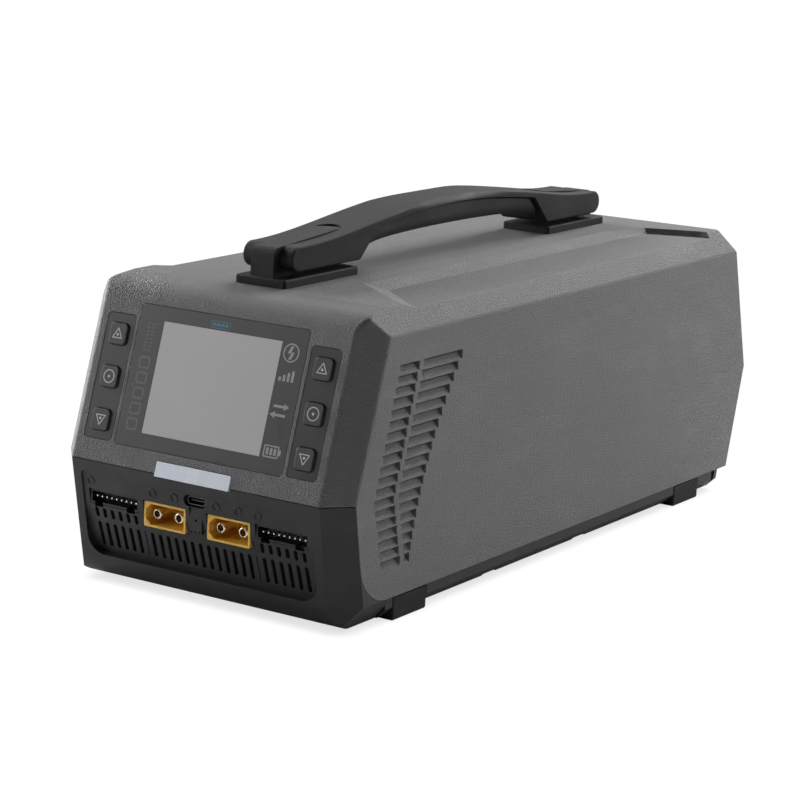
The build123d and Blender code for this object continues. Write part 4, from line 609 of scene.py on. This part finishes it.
paintedShadeBoards = {"port_boards", "light_board"}       # seen from outside, through ports and gaps; made near black, not green, as painted shade inside those openings
slotOf = {part["node"]: part["material_slot"] for part in frame["record"]["subparts"]}
for name, piece in nodes.items():
    finish = materials["boardBlack" if name in paintedShadeBoards else finishOf[slotOf[name]]]
    piece.data.materials.clear()
    piece.data.materials.append(finish)
print("finishes given to the frame's nodes")


# the display face: its own plane, x across, y up the slope, z outwards

faceLean = math.radians(17.5)
faceUp = Vector((0, math.sin(faceLean), math.cos(faceLean)))
faceOut = Vector((0, -math.cos(faceLean), math.sin(faceLean)))


def faceExtent(name, origin=Vector((0, 0, 0))):
    # Lowest and highest x, place up the slope and height over the face, of a node
    points = [v.co - origin for v in nodes[name].data.vertices]
    spans = [[p.x for p in points], [p.dot(faceUp) for p in points], [p.dot(faceOut) for p in points]]
    return [(min(span), max(span)) for span in spans]


def faceMatrix(origin, x, up, out):    # places a piece drawn flat on the ground plane onto the display face
    spot = origin + Vector((x, 0, 0)) + faceUp * up + faceOut * out
    turn = Matrix((
        (1, 0, 0, 0), (0, faceUp.y, faceOut.y, 0), (0, faceUp.z, faceOut.z, 0), (0, 0, 0, 1)
    ))
    return Matrix.Translation(spot) @ turn


panelSpan = faceExtent("display_overlay")
faceOrigin = faceUp * panelSpan[1][0] + faceOut * panelSpan[2][1]    # panel's foot, on its outer face


# printed marks, each a thin raised layer of ink

ink = dict(thick=0.03 * mm, sunk=0.009 * mm)


def editAll(piece):    # opens a piece in edit mode with all of it selected
    activate(piece)
    bpy.ops.object.mode_set(mode="EDIT")
    bpy.ops.mesh.select_all(action="SELECT")


def raiseInk(piece):    # gives a flat outline its thickness and clean normals
    editAll(piece)
    bpy.ops.mesh.extrude_region_move(TRANSFORM_OT_translate={"value": (0, 0, ink["thick"])})
    bpy.ops.mesh.select_all(action="SELECT")
    bpy.ops.mesh.normals_make_consistent(inside=False)
    bpy.ops.object.mode_set(mode="OBJECT")


def raiseRim(piece, line, rounding=0.0, segments=6):    # rounds an outline's corners and keeps only its rim
    editAll(piece)
    if rounding:
        bpy.ops.mesh.bevel(offset=rounding, segments=segments, affect="VERTICES")
        bpy.ops.mesh.select_all(action="SELECT")
    bpy.ops.mesh.inset(thickness=line, depth=0)
    bpy.ops.mesh.delete(type="FACE")
    bpy.ops.object.mode_set(mode="OBJECT")
    raiseInk(piece)


def flatPolygon(sides, radius, turn=0.0):
    deselectAll()
    bpy.ops.mesh.primitive_circle_add(vertices=sides, radius=radius, fill_type="NGON", rotation=(0, 0, turn))
    piece = bpy.context.active_object
    settle(piece)
    return piece


def flatPlate(width, height):
    deselectAll()
    bpy.ops.mesh.primitive_plane_add(size=1.0)
    piece = bpy.context.active_object
    piece.scale = (width, height, 1)
    settle(piece)
    return piece


def shift(piece, x, y):
    piece.location = (x, y, 0)
    settle(piece)
    return piece


def ringMark(sides, radius, line, turn=0.0, rounding=0.0):    # the rim of a circle or a rounded polygon
    piece = flatPolygon(sides, radius, turn)
    raiseRim(piece, line, rounding)
    return piece


def frameMark(width, height, line, rounding, x=0.0, y=0.0):    # the rim of a rounded rectangle
    piece = flatPlate(width, height)
    raiseRim(piece, line, rounding, segments=5)
    return shift(piece, x, y)


def barMark(width, height, x=0.0, y=0.0, rounding=0.0, lean=0.0):
    # A filled bar, leaning sideways by lean over its height
    piece = flatPlate(width, height)
    for corner in piece.data.vertices:
        corner.co.x += lean * corner.co.y / height
    if rounding:
        editAll(piece)
        bpy.ops.mesh.bevel(offset=rounding, segments=4, affect="VERTICES")
        bpy.ops.object.mode_set(mode="OBJECT")
    raiseInk(piece)
    return shift(piece, x, y)


def barRow(count, pitch, width, height, rounding, lean=0.0):    # equal bars side by side about the middle
    middle = (count - 1) / 2
    return [barMark(width, height, (i - middle) * pitch, 0, rounding, lean) for i in range(count)]


def wedgeMark(sides, radius, x=0.0, y=0.0, turn=0.0):    # a filled polygon
    piece = flatPolygon(sides, radius, turn)
    raiseInk(piece)
    return shift(piece, x, y)


def finishMark(parts, name, place, body, material):
    piece = joinPieces(parts, name)
    settle(piece, place)
    piece.data.materials.clear()
    piece.data.materials.append(materials[material])
    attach(piece, body)
    return piece


buttonMark = dict(
    triangle=3.05 * mm, circle=2.75 * mm, rounding=0.45 * mm, line=0.42 * mm, dot=0.55 * mm,
    drop=0.4 * mm, sunk=0.008 * mm,
)


def triangleMark(upwards):
    turn = 0.0 if upwards else math.pi
    return [
        ringMark(3, buttonMark["triangle"], buttonMark["line"], turn, buttonMark["rounding"]),
        wedgeMark(24, buttonMark["dot"]),
    ]


def circleMark():
    return [ringMark(48, buttonMark["circle"], buttonMark["line"]), wedgeMark(24, buttonMark["dot"])]


def drawButtonMarks():
    for side in ("left", "right"):
        for row in ("up", "set", "down"):
            node = f"{side}_{row}_button"
            span = faceExtent(node, faceOrigin)
            x, up = sum(span[0]) / 2, sum(span[1]) / 2
            if row == "set":
                parts = circleMark()
            else:
                parts = triangleMark(row == "up")
                up += -buttonMark["drop"] if row == "up" else buttonMark["drop"]
            place = faceMatrix(faceOrigin, x, up, span[2][1] - buttonMark["sunk"])
            finishMark(parts, f"{side}_{row}_mark", place, f"{side}_{row}_key", "inkWhite")


drawButtonMarks()
print("button marks drawn")

panel = dict(symbolX=34.0 * mm, stripeX=-34.6 * mm, tall=panelSpan[1][1] - panelSpan[1][0])


def finishPanelMark(parts, name, x, up, material):    # a mark that is printed on the film
    return finishMark(parts, name, faceMatrix(faceOrigin, x, up, -ink["sunk"]), "charger", material)


badge = dict(
    x=-1.5 * mm, up=0.9355 * panel["tall"], width=9.6 * mm, height=2.9 * mm, line=0.22 * mm, rounding=0.5 * mm,
    bars=4, pitch=1.95 * mm, barWidth=1.5 * mm, barHeight=1.15 * mm, barRounding=0.2 * mm, lean=0.35 * mm,
)


def drawBadge():    # a plain outlined badge with four leaning bars, over the screen
    parts = [frameMark(badge["width"], badge["height"], badge["line"], badge["rounding"])]
    parts += barRow(
        badge["bars"], badge["pitch"], badge["barWidth"], badge["barHeight"], badge["barRounding"], badge["lean"]
    )
    finishPanelMark(parts, "panel_badge", badge["x"], badge["up"], "inkBlue")


power = dict(
    up=47.0 * mm, ring=3.7 * mm, line=0.55 * mm,
    boltWidth=1.3 * mm, boltHeight=2.9 * mm, boltX=0.35 * mm, boltY=1.15 * mm, boltLean=1.2 * mm,
    bars=4, pitch=1.95 * mm, barWidth=1.15 * mm, barFoot=-11.2 * mm, barLow=1.6 * mm, barStep=0.95 * mm,
    barRounding=0.15 * mm,
)


def drawPowerSymbol():    # a bolt in a ring, over four bars that grow
    parts = [
        barMark(
            power["boltWidth"], power["boltHeight"], -side * power["boltX"], side * power["boltY"],
            lean=power["boltLean"],
        )
        for side in (1, -1)
    ]
    parts.append(ringMark(40, power["ring"], power["line"]))
    for i in range(power["bars"]):
        height = power["barLow"] + i * power["barStep"]
        x = (i - (power["bars"] - 1) / 2) * power["pitch"]
        parts.append(barMark(power["barWidth"], height, x, power["barFoot"] + height / 2, power["barRounding"]))
    finishPanelMark(parts, "power_symbol", panel["symbolX"], power["up"], "inkPale")


flow = dict(
    up=24.4 * mm, rise=1.7 * mm, shaftLength=5.0 * mm, shaftWidth=1.0 * mm, shaftX=0.6 * mm,
    shaftRounding=0.1 * mm, head=1.6 * mm, headX=2.6 * mm,
)


def drawFlowSymbol():    # two arrows, the upper one pointing right and the lower one left
    parts = []
    for side in (1, -1):
        y = side * flow["rise"]
        x = -side * flow["shaftX"]
        parts.append(barMark(flow["shaftLength"], flow["shaftWidth"], x, y, flow["shaftRounding"]))
        parts.append(wedgeMark(3, flow["head"], side * flow["headX"], y, -side * math.pi / 2))
    finishPanelMark(parts, "flow_symbol", panel["symbolX"], flow["up"], "inkPale")


cell = dict(
    up=8.6 * mm, width=7.2 * mm, height=4.8 * mm, line=0.55 * mm, rounding=0.6 * mm,
    tipX=4.1 * mm, tipWidth=0.9 * mm, tipHeight=2.2 * mm, tipRounding=0.2 * mm,
    bars=3, pitch=1.8 * mm, barWidth=1.2 * mm, barHeight=2.7 * mm, barRounding=0.15 * mm,
)


def drawCellSymbol():    # a battery outline with three bars and its tip
    parts = [
        frameMark(cell["width"], cell["height"], cell["line"], cell["rounding"]),
        barMark(cell["tipWidth"], cell["tipHeight"], cell["tipX"], 0, cell["tipRounding"]),
    ]
    parts += barRow(cell["bars"], cell["pitch"], cell["barWidth"], cell["barHeight"], cell["barRounding"])
    finishPanelMark(parts, "cell_symbol", panel["symbolX"], cell["up"], "inkPale")


blocks = dict(
    up=8.8 * mm, count=5, pitch=6.2 * mm, width=5.6 * mm, height=5.0 * mm, line=0.85 * mm, rounding=1.1 * mm
)
ticks = dict(
    x=panel["stripeX"] - 0.2 * mm, up=38.6 * mm, columns=2, rows=8, columnPitch=2.3 * mm, rowPitch=1.5 * mm,
    width=1.3 * mm, height=0.7 * mm, rounding=0.1 * mm,
)
accent = dict(x=panel["stripeX"] - 3.6 * mm, up=24.3 * mm, radius=0.8 * mm)


def drawFaintStripe():    # hardly visible blocks and ticks on the left, with a small blue pointer
    parts = [
        frameMark(blocks["width"], blocks["height"], blocks["line"], blocks["rounding"], 0, i * blocks["pitch"])
        for i in range(blocks["count"])
    ]
    finishPanelMark(parts, "panel_stripe", panel["stripeX"], blocks["up"], "inkFaint")
    parts = [
        barMark(
            ticks["width"], ticks["height"], (column - (ticks["columns"] - 1) / 2) * ticks["columnPitch"],
            row * ticks["rowPitch"], ticks["rounding"],
        )
        for column in range(ticks["columns"]) for row in range(ticks["rows"])
    ]
    finishPanelMark(parts, "panel_ticks", ticks["x"], ticks["up"], "inkFaint")
    parts = [wedgeMark(3, accent["radius"], turn=math.pi / 2)]
    finishPanelMark(parts, "panel_accent", accent["x"], accent["up"], "inkBlue")


drawBadge()
drawPowerSymbol()
drawFlowSymbol()
drawCellSymbol()
drawFaintStripe()
print("panel marks drawn")


# camera

view = dict(place=(0.6027, -0.93335, 0.3018), azimuth=33.499, elevation=12.395, roll=2.033, lens=116.44, sensor=36.0)


def placeCamera():
    azimuth, elevation, roll = (math.radians(view[key]) for key in ("azimuth", "elevation", "roll"))
    right = Vector((math.cos(azimuth), math.sin(azimuth), 0))
    back = Vector((
        math.sin(azimuth) * math.cos(elevation), -math.cos(azimuth) * math.cos(elevation), math.sin(elevation)
    ))
    up = back.cross(right)
    across = right * math.cos(roll) + up * math.sin(roll)
    upright = up * math.cos(roll) - right * math.sin(roll)
    camera = bpy.data.objects.new("camera", bpy.data.cameras.new("camera"))
    scene.collection.objects.link(camera)
    turn = Matrix((across, upright, back)).transposed().to_4x4()
    camera.matrix_world = Matrix.Translation(Vector(view["place"])) @ turn
    camera.data.lens = view["lens"]
    camera.data.sensor_width = view["sensor"]
    camera.data.clip_start = 0.01
    scene.camera = camera


placeCamera()


# floor and studio light

floorLook = dict(
    size=24.0, dark=(0.86, 0.86, 0.86), pale=(0.90, 0.90, 0.90), roughness=0.6, specular=0.25,
    touch=8 * mm, shaded=0.72, clear=1.02,
)


def makeFloor():
    # White studio sweep: a matt floor that the camera sees as even white, with a painted contact shadow that dims it
    # where pieces touch it
    deselectAll()
    bpy.ops.mesh.primitive_plane_add(size=floorLook["size"], location=(0, 0, 0))
    floor = bpy.context.active_object
    floor.name = "floor"
    material, tree, shader = newMaterial("floorPale", floorLook["roughness"], specular=floorLook["specular"])
    place = addNode(tree, "ShaderNodeTexCoord").outputs["Object"]
    soft = addNode(tree, "ShaderNodeTexNoise", {"Vector": place, "Scale": 2.0, "Detail": 2.0}).outputs["Fac"]
    base = blendColours(tree, soft, rgba(floorLook["dark"]), rgba(floorLook["pale"]))
    tree.links.new(base, shader.inputs["Base Color"])
    # painted contact shadow: ambient occlusion dims the white glow the camera sees near the pieces
    contactShadowAO = addNode(tree, "ShaderNodeAmbientOcclusion", {"Distance": floorLook["touch"]}, samples=8).outputs["AO"]
    glow = addNode(tree, "ShaderNodeEmission", {"Color": (1.0, 1.0, 1.0, 1.0)})
    bright = spread(tree, contactShadowAO, 0.0, 0.8, floorLook["shaded"], floorLook["clear"])
    tree.links.new(bright, glow.inputs["Strength"])
    seen = addNode(tree, "ShaderNodeLightPath").outputs["Is Camera Ray"]
    mix = addNode(tree, "ShaderNodeMixShader", {0: seen, 1: shader.outputs[0], 2: glow.outputs[0]})
    tree.links.new(mix.outputs[0], tree.nodes["Material Output"].inputs["Surface"])
    floor.data.materials.append(material)


lamps = {
    "topBackLamp": dict(place=(0.1, 1.5, 1.3), aim=(0, 0, 0.1), size=1.0, power=38.9),
    "leftFrontLamp": dict(place=(-1.5, -0.9, 0.6), aim=(0, -0.05, 0.07), size=0.9, power=11.8),
    "leftLamp": dict(place=(-1.6, 0.2, 0.7), aim=(0, 0, 0.07), size=1.0, power=39.0),
    "rightBackLamp": dict(place=(1.2, 1.3, 0.6), aim=(0, 0, 0.07), size=1.0, power=12.1),
}
fill = dict(colour=(1.0, 1.0, 1.0), strength=0.03)    # even light from all round


def makeLamps():
    for name, lamp in lamps.items():
        light = bpy.data.lights.new(name, "AREA")
        light.shape = "SQUARE"
        light.size = lamp["size"]
        light.energy = lamp["power"]
        piece = bpy.data.objects.new(name, light)
        scene.collection.objects.link(piece)
        piece.location = lamp["place"]
        aim = Vector(lamp["aim"]) - Vector(lamp["place"])
        piece.rotation_euler = aim.to_track_quat("-Z", "Y").to_euler()
    world = bpy.data.worlds.new("studio")
    world.use_nodes = True
    around = world.node_tree.nodes["Background"].inputs
    around["Color"].default_value = rgba(fill["colour"])
    around["Strength"].default_value = fill["strength"]
    scene.world = world


makeFloor()
makeLamps()
scene.view_settings.view_transform = "Standard"
print("stage and light ready")
